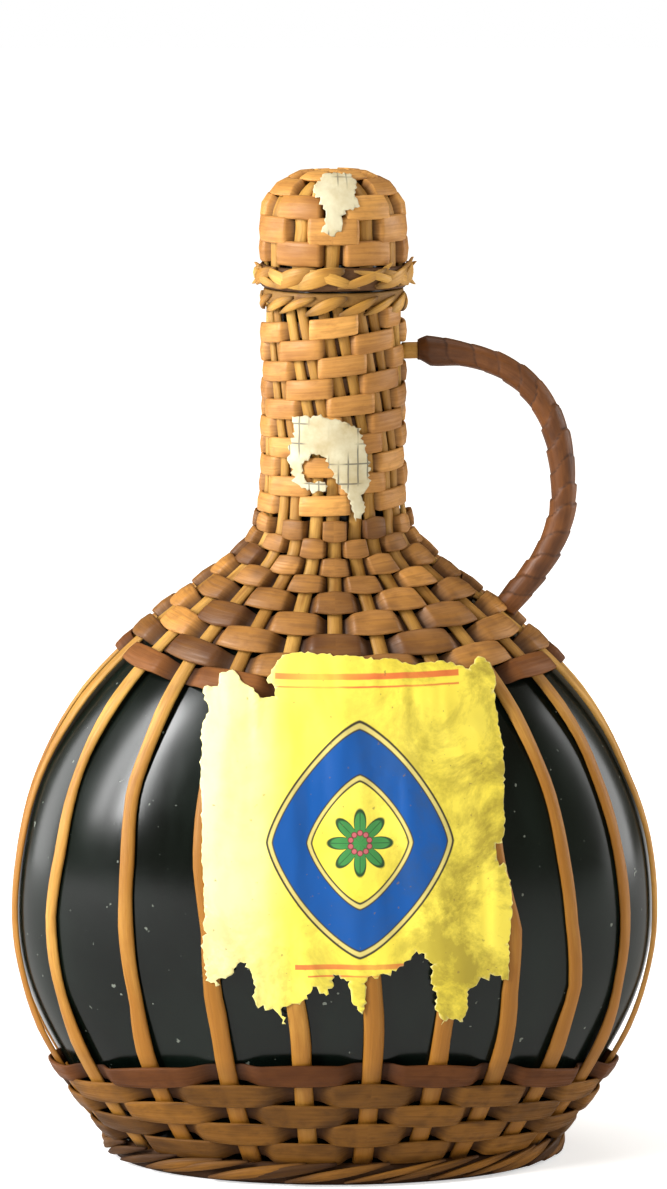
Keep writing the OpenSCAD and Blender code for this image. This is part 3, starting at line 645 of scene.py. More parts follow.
def woven_piece(name, node, slot, finish, *args, **extra):
    bm = bmesh.new()
    length = weave(bm, *args, **extra)
    dress(to_object(bm, name, length), "flask", [node], finish)


shoulder_rise, rise_lean, rise_power = 4.2, 1 / 3, 1.35


def side_rise(t):
    s = math.sin(math.radians(t))
    return shoulder_rise * s * s * (1 - rise_lean * s)


def shoulder_z(k, t):
    return shoulder_row_z + (k - 1) * shoulder_pitch + side_rise(t) * ((8 - min(k, 8)) / 7) ** rise_power


def shoulder_w(k, t):
    """The strips of the shoulder are as broad as the room between their rows."""
    z = shoulder_z(k, t)
    room = (shoulder_z(k + 0.5, t) - shoulder_z(k - 0.5, t)) / up_share(t, z)
    return min(max(room * 1.12, strip_w), 6.6)


def base_z(k, t):
    return base_row_z + (k - 1) * base_pitch + base_rise * (k - 1) / 4 * math.cos(math.radians(t)) ** 2


def base_w(t, share=1.0):
    return strip_w * share * (1 + 0.25 * math.cos(math.radians(t)) ** 2)


for k in range(1, 9):
    # front_tone paints the front of the shoulder darker, as shade
    woven_piece("shoulder_weave_%d" % k, "shoulder_row_%d" % k, "cane_tan", brown_cane,
                lambda t: shoulder_z(k, t), lambda t: shoulder_w(k, t), k % 2,
                crown=0.3, swell=0.42, arch=0.4, front_tone=0.22)
woven_piece("shoulder_bark", "shoulder_band", "bark_brown", faded_bark,
            lambda t: shoulder_band_z + 0.6 + side_rise(t), lambda t: band_w * 1.14, 0, thick=0.8, crown=0.2)
for k in range(1, 5):
    woven_piece("base_weave_%d" % k, "base_row_%d" % k, "cane_tan", base_cane,
                lambda t: base_z(k, t), lambda t: base_w(t, 1.14), k % 2,
                crown=0.14, swell=0.28, arch=0.2)
woven_piece("base_bark", "base_band", "bark_brown", bark_cane,
            lambda t: base_z(5, t), lambda t: base_w(t, 1.02), 1, crown=0.2)

# %% [markdown]
# ## The strip round the neck
# The neck isn't woven in rows. One strip winds up it like a thread, over one pair of stakes
# and under the next. With eleven pairs, an odd number, each turn lies over where the last
# one lay under. Where the handle goes in, the strip ends and a new one starts.

# %% Wind the neck
neck_strip_w, over_pair = 4.0, neck_stake_w + 0.35 / 2
neck_last = round((jacket_top_z - neck_edge_h - neck_strip_w - neck_row_z) / neck_pitch * pairs)
handle_pair = 3
break_at = (round((neck_last - handle_pair) / pairs) - 2) * pairs + handle_pair
neck_lead, neck_low_z = 7, throat_z - 2.4 + strip_w / 2


def neck_at(n):
    return neck_row_z + neck_pitch * n / pairs


def tilted(z, t):
    """The turns of the strip tilt more towards the top of the neck."""
    return z + float(np.interp(z, [twist_z, jacket_top_z], [0, 1.8])) * math.sin(math.radians(t))


def wind(name, node, first, last):
    """Wind one length of strip from its first pair to its last, counted on round the turns."""
    bm = bmesh.new()
    loops, along, shade, depth = [], [], [], []
    tones = [chance_tone(0.4, 0.26) for _ in range(first, last + 2)]
    lifts = chance_list(-0.1, 0.22, len(tones))
    drifts = chance_list(-0.2, 0.2, len(tones))
    steps, way = 10, 0.0
    for n in range(first, last):
        z0, z1 = neck_at(n), neck_at(n + 1)
        a, b = pair_angle(n, z0), pair_angle(n + 1, z1)
        radius = look(table_x, z0) + 1.5
        span = radius * math.radians(b - a)
        hold = min(over_pair / span * 0.9, 0.34)
        for q in range(steps + (1 if n == last - 1 else 0)):
            x = q / steps
            up = wave(x if n % 2 == 0 else 1 - x, neck_stay, hold)
            i = n - first
            over = i if n % 2 == 0 else i + 1
            t, z = a + (b - a) * x, z0 + (z1 - z0) * x
            puff = float(np.interp(z, [180, 200], [0, 0.4]))
            h = stake_h - strip_t + (over_h - stake_h + strip_t + lifts[over] + puff) * up
            drift = drifts[i] * (1 - x) + drifts[i + 1] * x
            wide = min(neck_strip_w * (0.98 + 0.24 * up), 2.2 * (z - neck_low_z))
            loops.append(strip_loop(t, tilted(z, t) + drift, wide, h, strip_t, 0.3 * up))
            along.append((way + span * x) * mm)
            shade.append(tones[over] * up + 0.5 * (1 - up))
            # Painted shade: the strip is darkened where it dives under a pair of stakes
            depth.append((1 - up) ** 2.2)
        way += span
    lay(bm, loops, along, shade, depth)
    dress(to_object(bm, name), "flask", [node], woven_cane)


wind("neck_winding_lower", "neck_strip_lower", -neck_lead, break_at)
wind("neck_winding_upper", "neck_strip_upper", break_at + 1, neck_last)

# %% [markdown]
# ## Slanting wraps
# The neck jacket's edge, the foot and the rim of the hood are closed in the same way: the
# ends of the stakes are turned and laid slanting round a ring, each over the next. One
# helper lays such a wreath, and each place gives its ring, its number and its slope.

# %% Lay the wreaths
def wreath(bm, count, place, low, high, width, thick, bulge, span=1.7, rough=0.3, steps=12):
    """Short strips laid slanting round a ring. place(angle, height, off) gives a point.

    Each spans so many places of the ring, and stands off by bulge in its middle.
    """
    step = 360 / count
    for i in range(count):
        lift, slide, wide = (chance.uniform(-rough, rough) for _ in range(3))
        loops, along = [], []
        for n in range(steps + 1):
            s = n / steps
            a = (i + s * span + slide * 0.3) * step
            body = math.sin(math.pi * min(max(s, 0.02), 0.98)) ** 0.8
            z = low + (high - low) * s + lift * 0.5 * body
            half = width / 2 * (0.2 + 0.8 * body) * (1 + wide * 0.5)
            off = bulge * body + 0.15
            da = 0.18 * step
            tilt = (high - low) / (span * step)
            loops.append([place(a - q * half * tilt * 0.15 * da, z + q * half,
                                off + b * thick + (0.25 * (1 - q * q) if b > 0.5 else 0))
                          for q, b in zip(across_shares, thick_shares)])
            along.append((i * 40 + s * 14) * mm)
        # Painted shade: each slanting strip is darkened towards both ends, where it tucks in
        lay(bm, loops, along, [chance_tone(0.4, 0.35)] * (steps + 1),
            [0.85 * (1 - math.sin(math.pi * n / steps)) for n in range(steps + 1)])


def splinter(bm, place, t, low, high, turn, out):
    """The loose, pointed end of a cane that stands off its ring."""
    loops = []
    for n in range(7):
        s = n / 6
        half = 1.0 * (1 - s) ** 0.7 + 0.08
        loops.append([place(t + turn * s, low + (high - low) * s + q * half, out * s ** 1.6 + b * 0.5)
                      for q, b in zip(across_shares, thick_shares)])
    # Painted shade: the loose end is darker at its root on the ring
    lay(bm, loops, [n * mm for n in range(7)], [chance.uniform(0.2, 0.8)] * 7,
        [0.4 - 0.05 * n for n in range(7)])


def ring_of(bm, point, thick, high, z_mid, count=96, tone=0.4, deep=0.5, wobble=0.0):
    """A closed ring with a rounded section: point(angle, height, off)."""
    loops, along = [], []
    for k in range(count):
        a = k * 360 / count
        z = z_mid + wobble * math.sin(math.radians(3 * a + 40))
        loops.append([point(a, z + math.cos(math.radians(c)) * high / 2,
                            thick / 2 + math.sin(math.radians(c)) * thick / 2) for c in range(0, 360, 36)])
        along.append(k * 0.004)
    lay(bm, loops, along, [tone] * count, [deep] * count, closed=True)


def round_ring(radius):
    """The points of a round ring, for an angle, a height and a distance off it."""
    def point(t, z, off):
        r, a = radius + off, math.radians(t)
        return Vector((r * math.sin(a), -r * math.cos(a), z))
    return point


neck_edge_point = round_ring(look(table_x, jacket_top_z) + over_h)
bm = bmesh.new()
# deep darkens the ring with painted shade, where it lies behind its wraps
ring_of(bm, neck_edge_point, thick=0.7, high=neck_edge_h + 0.7,
        z_mid=jacket_top_z - neck_edge_h / 2 + 0.35, tone=0.6, deep=0.6)
dress(to_object(bm, "neck_edge_ring"), "flask", ["neck_edge_core"], pale_cane)
bm = bmesh.new()
wreath(bm, 15, neck_edge_point, jacket_top_z - neck_edge_h - 1.8, jacket_top_z - 0.5,
       width=2.5, thick=0.7, bulge=0.6, span=1.4, rough=0.6)
dress(to_object(bm, "neck_edge_twists"), "flask", ["neck_edge_wraps"], pale_cane)

foot_h, foot_core_t = 5.8, 2.4
foot_in = stake_h + foot_core_t + strip_t


def foot_point(t, z, off):
    a = math.radians(t)
    return Vector(((heel_r + off) * math.sin(a), -(heel_r * flat_share + off) * math.cos(a), max(z, 0.02)))


bm = bmesh.new()
# deep darkens the ring with painted shade, where it shows in the gaps between the twists
ring_of(bm, lambda t, z, off: foot_point(t, z, off + foot_in - foot_core_t), thick=foot_core_t,
        high=foot_h * 0.94, z_mid=foot_h * 0.47, count=160, tone=0.9, deep=0.7)
dress(to_object(bm, "foot_ring"), "flask", ["foot_core"], base_cane)
bm = bmesh.new()
wreath(bm, 32, lambda t, z, off: foot_point(t, z, off + foot_in + 0.1 + max(z, 0) * 0.08), 1.2, foot_h,
       width=2.4, thick=0.8, bulge=0.8, span=2.3, rough=0.8)
dress(to_object(bm, "foot_twists"), "flask", ["foot_wraps"], base_cane)

# %% [markdown]
# ## The handle
# The handle is one bent cane whose ends go in under the weaving. A strip of bark is wound
# round it. Each turn lies on the edge of the last, so the wrap steps like roof tiles along a
# line that winds round the cane. The cane shows for a few millimetres where it enters the neck.

# %% Bend the cane and wind the bark
handle_reach, handle_side_z, handle_d, wrap_t, wrap_turns = 55, 162, 4.0, 0.7, 15
break_z = neck_at(break_at)
handle_angle = (pair_angle(handle_pair, break_z) + pair_angle(handle_pair + 1, break_z)) / 2
handle_top_z = tilted(neck_at(break_at + 0.5), handle_angle)
handle_start = skin(90, handle_top_z, over_h + 0.2)
handle_end_z = (shoulder_z(2, 90) + shoulder_z(3, 90)) / 2
handle_end = skin(90, handle_end_z, jacket_t + handle_d / 4)
run_out, side_drop = handle_reach - handle_start.x, handle_top_z - handle_side_z
run_in, end_drop = handle_reach - handle_end.x, handle_side_z - handle_end.z
cane_line = np.concatenate([
    bend((handle_start.x, handle_top_z), (handle_start.x + run_out * 0.72, handle_top_z + handle_d / 3),
         (handle_reach, handle_side_z + side_drop * 0.68), (handle_reach, handle_side_z), 200),
    bend((handle_reach, handle_side_z), (handle_reach, handle_side_z - end_drop * 0.4),
         (handle_end.x + run_in * 0.55, handle_end.z + end_drop * 0.32),
         (handle_end.x, handle_end.z), 200)[1:]])
end_tip = skin(90, handle_end_z, under_h + 0.4)
end_run = np.array([end_tip.x - cane_line[-1][0], end_tip.z - cane_line[-1][1]])
bend_l = float(np.hypot(*np.diff(cane_line, axis=0).T).sum())
cane_line = np.concatenate([cane_line, [cane_line[-1] + end_run * q for q in (0.25, 0.5, 0.75, 1)]])
steps = np.hypot(*np.diff(cane_line, axis=0).T)
cane_way = np.concatenate([[0], np.cumsum(steps)])
print("handle: %.0f mm of cane, top at %.1f mm" % (cane_way[-1], handle_top_z))


def cane_at(s):
    """The point and the direction of the handle's middle line, s millimetres along it."""
    p = np.array([np.interp(s, cane_way, cane_line[:, k]) for k in (0, 1)])
    q = np.array([np.interp(min(s + 0.8, cane_way[-1]), cane_way, cane_line[:, k]) -
                  np.interp(max(s - 0.8, 0), cane_way, cane_line[:, k]) for k in (0, 1)])
    return p, q / np.hypot(*q)


def round_loop(s, radius_at, sides):
    p, d = cane_at(s)
    loop = []
    for k in range(sides):
        a = 2 * math.pi * k / sides
        r = radius_at(a)
        loop.append(Vector((p[0] - d[1] * math.cos(a) * r, math.sin(a) * r, p[1] + d[0] * math.cos(a) * r)))
    return loop


bm = bmesh.new()
cane_steps = np.linspace(0, bend_l, 90)
neck_tip = skin(90, handle_top_z, under_h + 0.4)


def tip_loop(x, radius):
    """A loop round the thin end of the cane that goes in between the strips of the neck."""
    return [Vector((x, math.sin(a) * radius, handle_top_z + math.cos(a) * radius))
            for a in np.linspace(0, math.tau, 13)[:-1]]


loops = [tip_loop(neck_tip.x, 0.8), tip_loop(handle_start.x - 0.6, 1.2)]
loops += [round_loop(s, lambda a: handle_d / 2 * (0.96 + 0.04 * math.cos(2 * a)), 12) for s in cane_steps]
loops += [round_loop(s, lambda a: 0.6, 12) for s in (bend_l + 0.6, cane_way[-1])]
# Painted shade: the ends of the cane, where it goes in under the strips, are darkened through depth
lay(bm, loops, [n * 0.002 for n in range(len(loops))], [0.35] * len(loops),
    [0.5, 0.3] + [0.1] * len(cane_steps) + [0.4, 0.5])
dress(to_object(bm, "handle_cane"), "flask", ["handle_core"], pale_cane)

wrap_start, wrap_end = 3.6, bend_l + 1.6
turn_l = (wrap_end - wrap_start) / wrap_turns
turn_edges = [wrap_start + (k + (chance.uniform(-0.12, 0.12) if 0 < k < wrap_turns else 0)) * turn_l
              for k in range(wrap_turns + 2)]
turn_tones = [chance_tone(0.4, 0.22) for _ in range(wrap_turns + 3)]


def bark_radius(s, a):
    """The wrap's radius, its turn and the share of that turn.

    The radius steps down at each lap, along a line that winds round the cane.
    """
    lag = turn_l * 0.42 * math.cos(a + 0.5) + 0.5 * math.sin(3 * a + s * 0.1)
    q = s + lag - turn_l * 0.42
    k = max(0, min(int(np.searchsorted(turn_edges, q)) - 1, wrap_turns))
    x = (q - turn_edges[k]) / (turn_edges[k + 1] - turn_edges[k])
    x = min(max(x, 0), 1)
    lip = 0.42 * (1 - x) ** 0.7
    full = (wrap_t + lip + 0.1 * math.sin(k * 2.1)) * (1 if k else 1.4)
    full *= float(np.interp(s, [wrap_start + turn_l, wrap_start + 2 * turn_l, wrap_end / 2], [1, 0.68, 1]))
    cone = float(np.interp(s + 0.6 * math.cos(a), [wrap_start, wrap_start + 2.6], [0.1, 1]))
    return handle_d / 2 + 0.15 + full * cone, k, x


bm = bmesh.new()
sides = 28
loops, along, shade, depth = [], [], [], []
for s in np.arange(wrap_start, wrap_end, 0.42):
    loops.append(round_loop(s, lambda a: bark_radius(s, a)[0], sides))
    k, x = bark_radius(s, math.pi / 2)[1:]
    along.append(s * mm)
    shade.append(turn_tones[k])
    depth.append(0.0)
# Painted shade: the loops at the wrap's two ends are darkened through depth
for s, r in ((wrap_end, handle_d / 2 + 0.1), (wrap_end - 1, handle_d / 2 + 0.06)):
    loops.append(round_loop(s, lambda a: r, sides))
    along.append(s * mm)
    shade.append(0.5)
    depth.append(0.7)
loops = [round_loop(wrap_start + 1, lambda a: handle_d / 2 + 0.06, sides),
         round_loop(wrap_start - 0.02, lambda a: handle_d / 2 + 0.1, sides)] + loops
along = [wrap_start * mm] * 2 + along
shade, depth = [0.5] * 2 + shade, [0.6] * 2 + depth
lay(bm, loops, along, shade, depth)
tone, deep = bm.verts.layers.float["shade"], bm.verts.layers.float["depth"]
for v in bm.verts:
    s = v[bm.verts.layers.float["along"]] / mm
    p, d = cane_at(s)
    side_way = Vector((-d[1], 0, d[0]))
    rel = v.co / mm - Vector((p[0], 0, p[1]))
    a = math.atan2(rel.y, rel.dot(side_way))
    r, k, x = bark_radius(s, a)
    v[tone] = turn_tones[k]
    # Painted shade: a dark band along the edge of each lap, where one turn steps onto the next
    v[deep] = max(v[deep], 0.95 * max(0, 1 - abs(x - 1) / 0.12), 0.3 * max(0, 1 - x / 0.05))
dress(to_object(bm, "handle_bark"), "flask", ["handle_wrap"], wrap_bark)

# %% [markdown]
# ## The cork
# The hood hides the cork, but it shows when the hood is lifted. It is spun from one outline,
# with the edge of the head rounded over, and swells where the mouth no longer holds it.

# %% Turn the cork
cork_in, cork_out, cork_d, cork_head_w = 30, 9.2, 18.2, 20.6
cork_line = [(0.01, -cork_in), (cork_d / 2 - 0.7, -cork_in), (cork_d / 2 - 0.15, -cork_in + 0.5),
             (cork_d / 2, -cork_in + 2.4), (cork_d / 2, -1), (cork_d / 2, 0.25),
             (cork_head_w / 2 - 0.25, 0.8), (cork_head_w / 2, 1.6), (cork_head_w / 2 + 0.02, 3.5),
             (cork_head_w / 2, 6.2), (cork_head_w / 2 - 0.5, 7.5), (cork_head_w / 2 - 1.4, 8.5),
             (cork_head_w / 2 - 2.6, 8.95), (0.01, 9.0)]
plug = spun("cork_plug", [([(r, z + mouth_z) for r, z in cork_line], 1)], 72)
cork_bark, w, shader = finish_of("natural cork")
where = w.add("ShaderNodeTexCoord").outputs["Object"]
cells = w.noise(where, 900.0, 2.0, 0.6)
pits = w.noise(w.vector("MULTIPLY", where, (1.0, 1.0, 2.2)), 170.0, 2.0, 0.5)
pits = w.ramp(pits, (0.60, 0.0), (0.68, 1.0))
clouds = w.ramp(w.noise(where, 60.0, 3.0, 0.5), (0.3, 0.0), (0.7, 1.0))
tint = w.mix(clouds, (0.46, 0.27, 0.11, 1), (0.32, 0.17, 0.065, 1))
w.put(shader.inputs["Base Color"], w.mix(w.times(pits, 0.8), tint, (0.13, 0.06, 0.03, 1)))
w.put(shader.inputs["Roughness"], w.ramp(cells, (0.0, 0.7), (1.0, 0.92)))
bump(w, shader, w.math("SUBTRACT", w.times(cells, 0.3), pits), 0.5, 0.0006)
dress(plug, "stopper", ["cork"], cork_bark)

# %% [markdown]
# ## The hood
# The hood is a small basket by itself, turned over the mouth. Its stakes run up a straight
# wall and over a dome, and its rows go round them. A length up the wall and over the dome
# takes the place of the height here.

# %% The hood's own skin, stakes and rows
hood_r, hood_z, hood_count = 14, jacket_top_z + 0.9, 12
hood_step = 360 / hood_count
dome_z, dome_h, dome_power = mouth_z + 1, cork_out + 0.2, 0.8
dome_l = dome_h * 2
hood_under_h, hood_stake_h, hood_over_h = 0.1, 1.2, 2.65
hood_row_s, hood_row_pitch = -6.2, 5.05
hood_row_w = [5.8, 5.6, 5.4, 5.1, 4.5]


def dome_turn(s):
    """How far round the dome a length s has come, from where the wall ends."""
    return math.radians(90 * min(max(s, 0), dome_l * 0.995) / dome_l)


def hood_radius(s):
    return hood_r if s <= 0 else hood_r * math.cos(dome_turn(s)) ** dome_power


def hood_point(t, s, h):
    """The point at angle t, a length s up the wall and the dome, standing h off."""
    q = dome_turn(s)
    r = hood_radius(s) + h * math.cos(q)
    up = dome_z + (s if s <= 0 else dome_h * math.sin(q) ** dome_power) + h * math.sin(q)
    a = math.radians(t)
    return Vector((r * math.sin(a), -r * math.cos(a), up))


def hood_width(s):
    return min(3.5, hood_radius(s) * math.radians(hood_step) * 0.62)


bm = bmesh.new()
for i in range(hood_count):
    sway = wander(300 + i, 5.0)
    loops, along = [], []
    for s in np.linspace(hood_z + 1 - dome_z, dome_l * 0.93, 36):
        t = i * hood_step + sway(s + 20) * 2.2
        half = math.degrees(hood_width(s) / 2 / (hood_radius(s) + hood_stake_h))
        loops.append([hood_point(t + k * half, s, hood_stake_h + q * (stake_t + 0.15))
                      for k, q in zip(round_across, round_thick)])
        along.append((i * 50 + s) * mm)
    # Painted shade: the hood's stakes are darkened a little through depth, where the rows cross them
    lay(bm, loops, along, [chance.uniform(0.1, 0.6)] * len(loops), [0.2] * len(loops))
dress(to_object(bm, "hood_canes"), "hood", ["hood_stakes"], pale_cane)


def hood_weave(k):
    """One row of the hood, counted from its rim."""
    s0 = hood_row_s + (k - 1) * hood_row_pitch
    bm = bmesh.new()
    lifts = chance_list(-0.12, 0.25, hood_count)
    drifts = chance_list(-0.3, 0.3, hood_count)
    tones = [chance_tone(0.4, 0.24) for _ in range(hood_count)]
    loops, along, shade, depth = [], [], [], []
    span = (hood_radius(s0) + 1.5) * math.radians(hood_step)
    hold = min(hood_width(s0) * 0.5 / span + 0.03, 0.38)
    for i in range(hood_count):
        m = (i + 1) % hood_count
        for n in range(16):
            x = n / 16
            top_now = (i + k) % 2 == 0
            up = wave(x if top_now else 1 - x, hood_stay, hold)
            over = i if top_now else m
            s = s0 + drifts[i] * (1 - x) + drifts[m] * x
            h = hood_under_h + (hood_over_h - hood_under_h + lifts[over]) * up
            half = hood_row_w[k - 1] / 2 * (0.88 + 0.14 * up)
            loops.append([hood_point(i * hood_step + x * hood_step, s + a * half,
                                     h + b * 0.75 + (0.35 * up * (1 - a * a) if b > 0.5 else 0))
                          for a, b in zip(across_shares, thick_shares)])
            along.append((k * 120 + (i + x) * span) * mm)
            shade.append(tones[over] * up + 0.5 * (1 - up))
            # Painted shade: the row is darkened where it dives under a stake
            depth.append((1 - up) ** 2.2)
    lay(bm, loops, along, shade, depth, closed=True)
    dress(to_object(bm, "hood_weave_%d" % k, hood_count * span * mm), "hood", ["hood_row_%d" % k],
          woven_cane)


for k in range(1, 6):
    hood_weave(k)

knot_low, knot_top = mouth_z + cork_out, dome_z + dome_h + hood_stake_h + stake_t + 0.2
knot_line = [(0.01, knot_low), (1.3, knot_low), (1.5, knot_low + 0.3), (1.5, knot_top - 0.1),
             (3.9, knot_top), (4.2, knot_top + 0.25), (3.6, knot_top + 0.6), (0.01, knot_top + 0.72)]
knot = spun("hood_button", [(knot_line, 1)], 40)
rim_point = round_ring(hood_r + hood_stake_h + stake_t + 0.2)
bm = bmesh.new()
# deep darkens the ring with painted shade, where it lies behind its wraps
ring_of(bm, rim_point, thick=1.2, high=5.4, z_mid=hood_z + 2.9, tone=0.8, deep=0.9, wobble=0.15)
dress(to_object(bm, "hood_rim_ring"), "hood", ["hood_rim_core"], woven_cane)
bm = bmesh.new()
wreath(bm, 12, lambda t, z, off: rim_point(t, z, off + 0.7), hood_z + 1.2, hood_z + 5.2,
       width=3.1, thick=0.6, bulge=1.0, span=1.35, rough=0.9)
wreath(bm, 10, lambda t, z, off: rim_point(t + 11, z, off + 0.6), hood_z + 5.0, hood_z + 1.0,
       width=2.6, thick=0.55, bulge=1.1, span=1.25, rough=1.0)
# The angle of each loose end, its two heights above hood_z, its turn and its reach
loose_ends = ((66, 3.6, 6.6, 9, 1.5), (78, 3.2, 0.6, 8, 1.7), (84, 3.9, 6.9, 7, 1.2),
              (99, 3.4, 5.9, -9, 1.9), (-86, 2.7, 0.5, -8, 1.6), (-72, 3.6, 6.0, -8, 1.2),
              (40, 4.2, 6.6, 8, 1.0), (150, 3.4, 6.2, 9, 1.4))
for t, low, high, turn, out in loose_ends:
    splinter(bm, lambda a, z, off: rim_point(a, z, off + 0.9), t, hood_z + low, hood_z + high, turn, out)
dress(to_object(bm, "hood_rim_twists"), "hood", ["hood_rim_wraps"], pale_cane)

# %% [markdown]
# ## Torn papers
# Old paper tears along a ragged line, which a grid of squares can't follow. So a paper starts
# as its torn outline: the outline is filled, cut into small cells with planes, and only then
# laid on the flask. Its place on the sheet is kept as a UV map in metres, for the print.

# %% Cut and lay a torn paper
def ragged(outline, seed, step, depth_at):
    """Break a coarse outline into short, uneven tears. Their depth goes by height."""
    rng = random.Random(seed)
    points = []
    for (x0, z0), (x1, z1) in zip(outline, outline[1:] + outline[:1]):
        length = math.hypot(x1 - x0, z1 - z0)
        count = max(1, round(length / step))
        for k in range(count):
            q = k / count
            off = rng.choice((-1, 1)) * depth_at(z0) * rng.random() ** 2 if k else 0
            nx, nz = -(z1 - z0) / length, (x1 - x0) / length
            points.append((x0 + (x1 - x0) * q + nx * off, z0 + (z1 - z0) * q + nz * off))
    return points


def torn_paper(name, outline, seed, cell, place, thick, tears, step):
    """Fill the torn outline, cut it into cells, and lay it on the flask."""
    bm = bmesh.new()
    verts = [bm.verts.new((x * mm, 0, z * mm)) for x, z in ragged(outline, seed, step, tears)]
    edges = [bm.edges.new((verts[k], verts[(k + 1) % len(verts)])) for k in range(len(verts))]
    bmesh.ops.triangle_fill(bm, use_beauty=True, use_dissolve=False, edges=edges)
    rim = bm.verts.layers.float.new("rim")
    xs, zs = [v.co.x for v in bm.verts], [v.co.z for v in bm.verts]
    for low, high, axis in ((min(xs), max(xs), 0), (min(zs), max(zs), 2)):
        for n in range(1, int((high - low) / (cell * mm)) + 1):
            spot, way = [0, 0, 0], [0, 0, 0]
            spot[axis], way[axis] = low + n * cell * mm, 1
            bmesh.ops.bisect_plane(bm, geom=bm.verts[:] + bm.edges[:] + bm.faces[:], dist=1e-7,
                                   plane_co=spot, plane_no=way)
    for v in bm.verts:
        v[rim] = 1 if v.is_boundary else 0
    sheet = bm.loops.layers.uv.new("sheet")
    for face in bm.faces:
        for loop in face.loops:
            loop[sheet].uv = (loop.vert.co.x, loop.vert.co.z)
    for v in bm.verts:
        v.co = place(v.co.x / mm, v.co.z / mm) * mm
    bmesh.ops.recalc_face_normals(bm, faces=bm.faces)
    if sum(f.normal.y * f.calc_area() for f in bm.faces) > 0:
        bmesh.ops.reverse_faces(bm, faces=bm.faces)
    piece = into_scene(bm, name)
    wall = piece.modifiers.new("thickness", "SOLIDIFY")
    wall.thickness = thick * mm
    wall.offset = -1
    return piece


def seeded(seed, low, high):
    return random.Random(seed).uniform(low, high)


# Each crease has a place across, a width, a height and a phase
creases = [(seeded(5 + k, -31, 41), seeded(50 + k, 0.5, 1.6),
            seeded(90 + k, -0.16, 0.2), seeded(70 + k, 0, 6)) for k in range(16)]


def side_angle(x, z, h):
    """The angle at which a point x to the side lies, when it stands h off the glass."""
    return math.degrees(math.asin(max(-1, min(1, x / (look(table_x, z) + h)))))


def label_lift(x, z):
    """How far the label stands off the glass: tight over the stakes and bands, slack between."""
    t = side_angle(x, z, 2)
    near = 0.0
    for i in range(stakes):
        gap = (t - stake_angle(i, z) + 180) % 360 - 180
        reach = angle_of(t, z, stake_width(z) / 2)
        near = max(near, math.exp(-max(0, abs(gap) - reach * 1.15) ** 2 / (2 * (reach * 0.9) ** 2)))
    on_weave = float(np.interp(z, [110.5, 115.4], [0, 1]))
    lift = (bare_lift(z) + 0.72 + 0.72 * near) * (1 - on_weave) + (jacket_t + 0.85) * on_weave
    for cx, wide, tall, phase in creases:
        d = (x - cx - 0.9 * math.sin(z / 17 + phase)) / wide
        if abs(d) < 3:
            lift += abs(tall) * math.exp(-d * d) * (0.6 + 0.4 * math.sin(z / 11 + phase)) * 2.2
    return lift


def label_place(x, z):
    h = label_lift(x, z)
    return skin(side_angle(x, z, h), z, h)


label_edge = [(-14.9, 122.6), (-12.3, 125.8), (-7.7, 126.6), (0.7, 125.9), (6.2, 125.6), (10.4, 124.9),
              (12.5, 125.2), (15.3, 124.9), (16.5, 124.0), (19.6, 123.5), (22.0, 123.9), (25.0, 124.1),
              (28.1, 123.7), (32.5, 121.9), (34.1, 123.7), (35.9, 124.0), (37.7, 122.8), (38.7, 120.3),
              (38.9, 119.0), (38.4, 114.7), (39.9, 106.2), (40.3, 100.7), (39.9, 93.4), (40.2, 87.4),
              (39.6, 84.3), (38.0, 84.3), (38.2, 81.3), (38.9, 79.1), (39.9, 79.8), (41.7, 74.0),
              (42.0, 67.9), (41.3, 62.4), (41.1, 52.0), (37.8, 53.3), (34.1, 52.0), (32.0, 50.5),
              (31.7, 46.0), (30.5, 42.6), (28.7, 43.5), (25.3, 42.3), (24.7, 45.3), (24.1, 50.2),
              (22.9, 53.3), (23.5, 56.9), (21.3, 59.4), (19.5, 60.0), (17.1, 57.8), (14.6, 55.4),
              (10.4, 53.9), (8.0, 54.2), (7.5, 49.6), (6.8, 45.3), (4.3, 48.1), (3.8, 53.3),
              (-0.2, 54.8), (0.1, 52.0), (-1.7, 49.6), (-4.8, 52.0), (-6.0, 49.0), (-10.2, 47.5),
              (-12.4, 46.3), (-11.2, 42.9), (-12.1, 42.9), (-13.0, 45.3), (-15.1, 46.0), (-18.2, 47.2),
              (-18.5, 50.8), (-19.1, 54.5), (-20.3, 57.2), (-22.4, 56.9), (-23.9, 54.2), (-27.0, 53.3),
              (-27.6, 51.4), (-30.0, 52.7), (-30.4, 59.4), (-30.3, 71.5), (-30.8, 83.7), (-30.8, 93.4),
              (-31.2, 102.0), (-31.0, 111.0), (-29.6, 114.1), (-31.2, 117.1), (-30.9, 118.4),
              (-27.6, 118.7), (-27.3, 121.4), (-24.2, 122.3), (-21.8, 119.9), (-19.1, 118.7),
              (-17.5, 116.8), (-13.9, 117.1), (-14.2, 119.3), (-16.0, 120.5)]


def label_tears(z):
    """The lower edge is torn deeper than the others."""
    return 0.85 if z < 62 else 0.38


label = torn_paper("torn_label", label_edge, seed=3, cell=1.25, place=label_place, thick=0.16,
                   tears=label_tears, step=0.75)

# %% [markdown]
# ## The print on the label
# The label carries a plain old ornament: a blue frame with gilt and dark lines round a green
# rosette with red beads, between pairs of red rules. It is all drawn in the material from the
# sheet's own map, so that it bends and tears with the paper. Each shape is a distance, and a
# step at its edge.

# %% Print the ornament
def sheet_way(w):
    """The place on a sheet, whole and as its separate numbers."""
    place = w.add("ShaderNodeUVMap", uv_map="sheet").outputs[0]
    parts = w.add("ShaderNodeSeparateXYZ")
    w.put(parts.inputs[0], place)
    return place, parts.outputs


paper, w, shader = finish_of("printed yellow paper")
sheet, split = sheet_way(w)
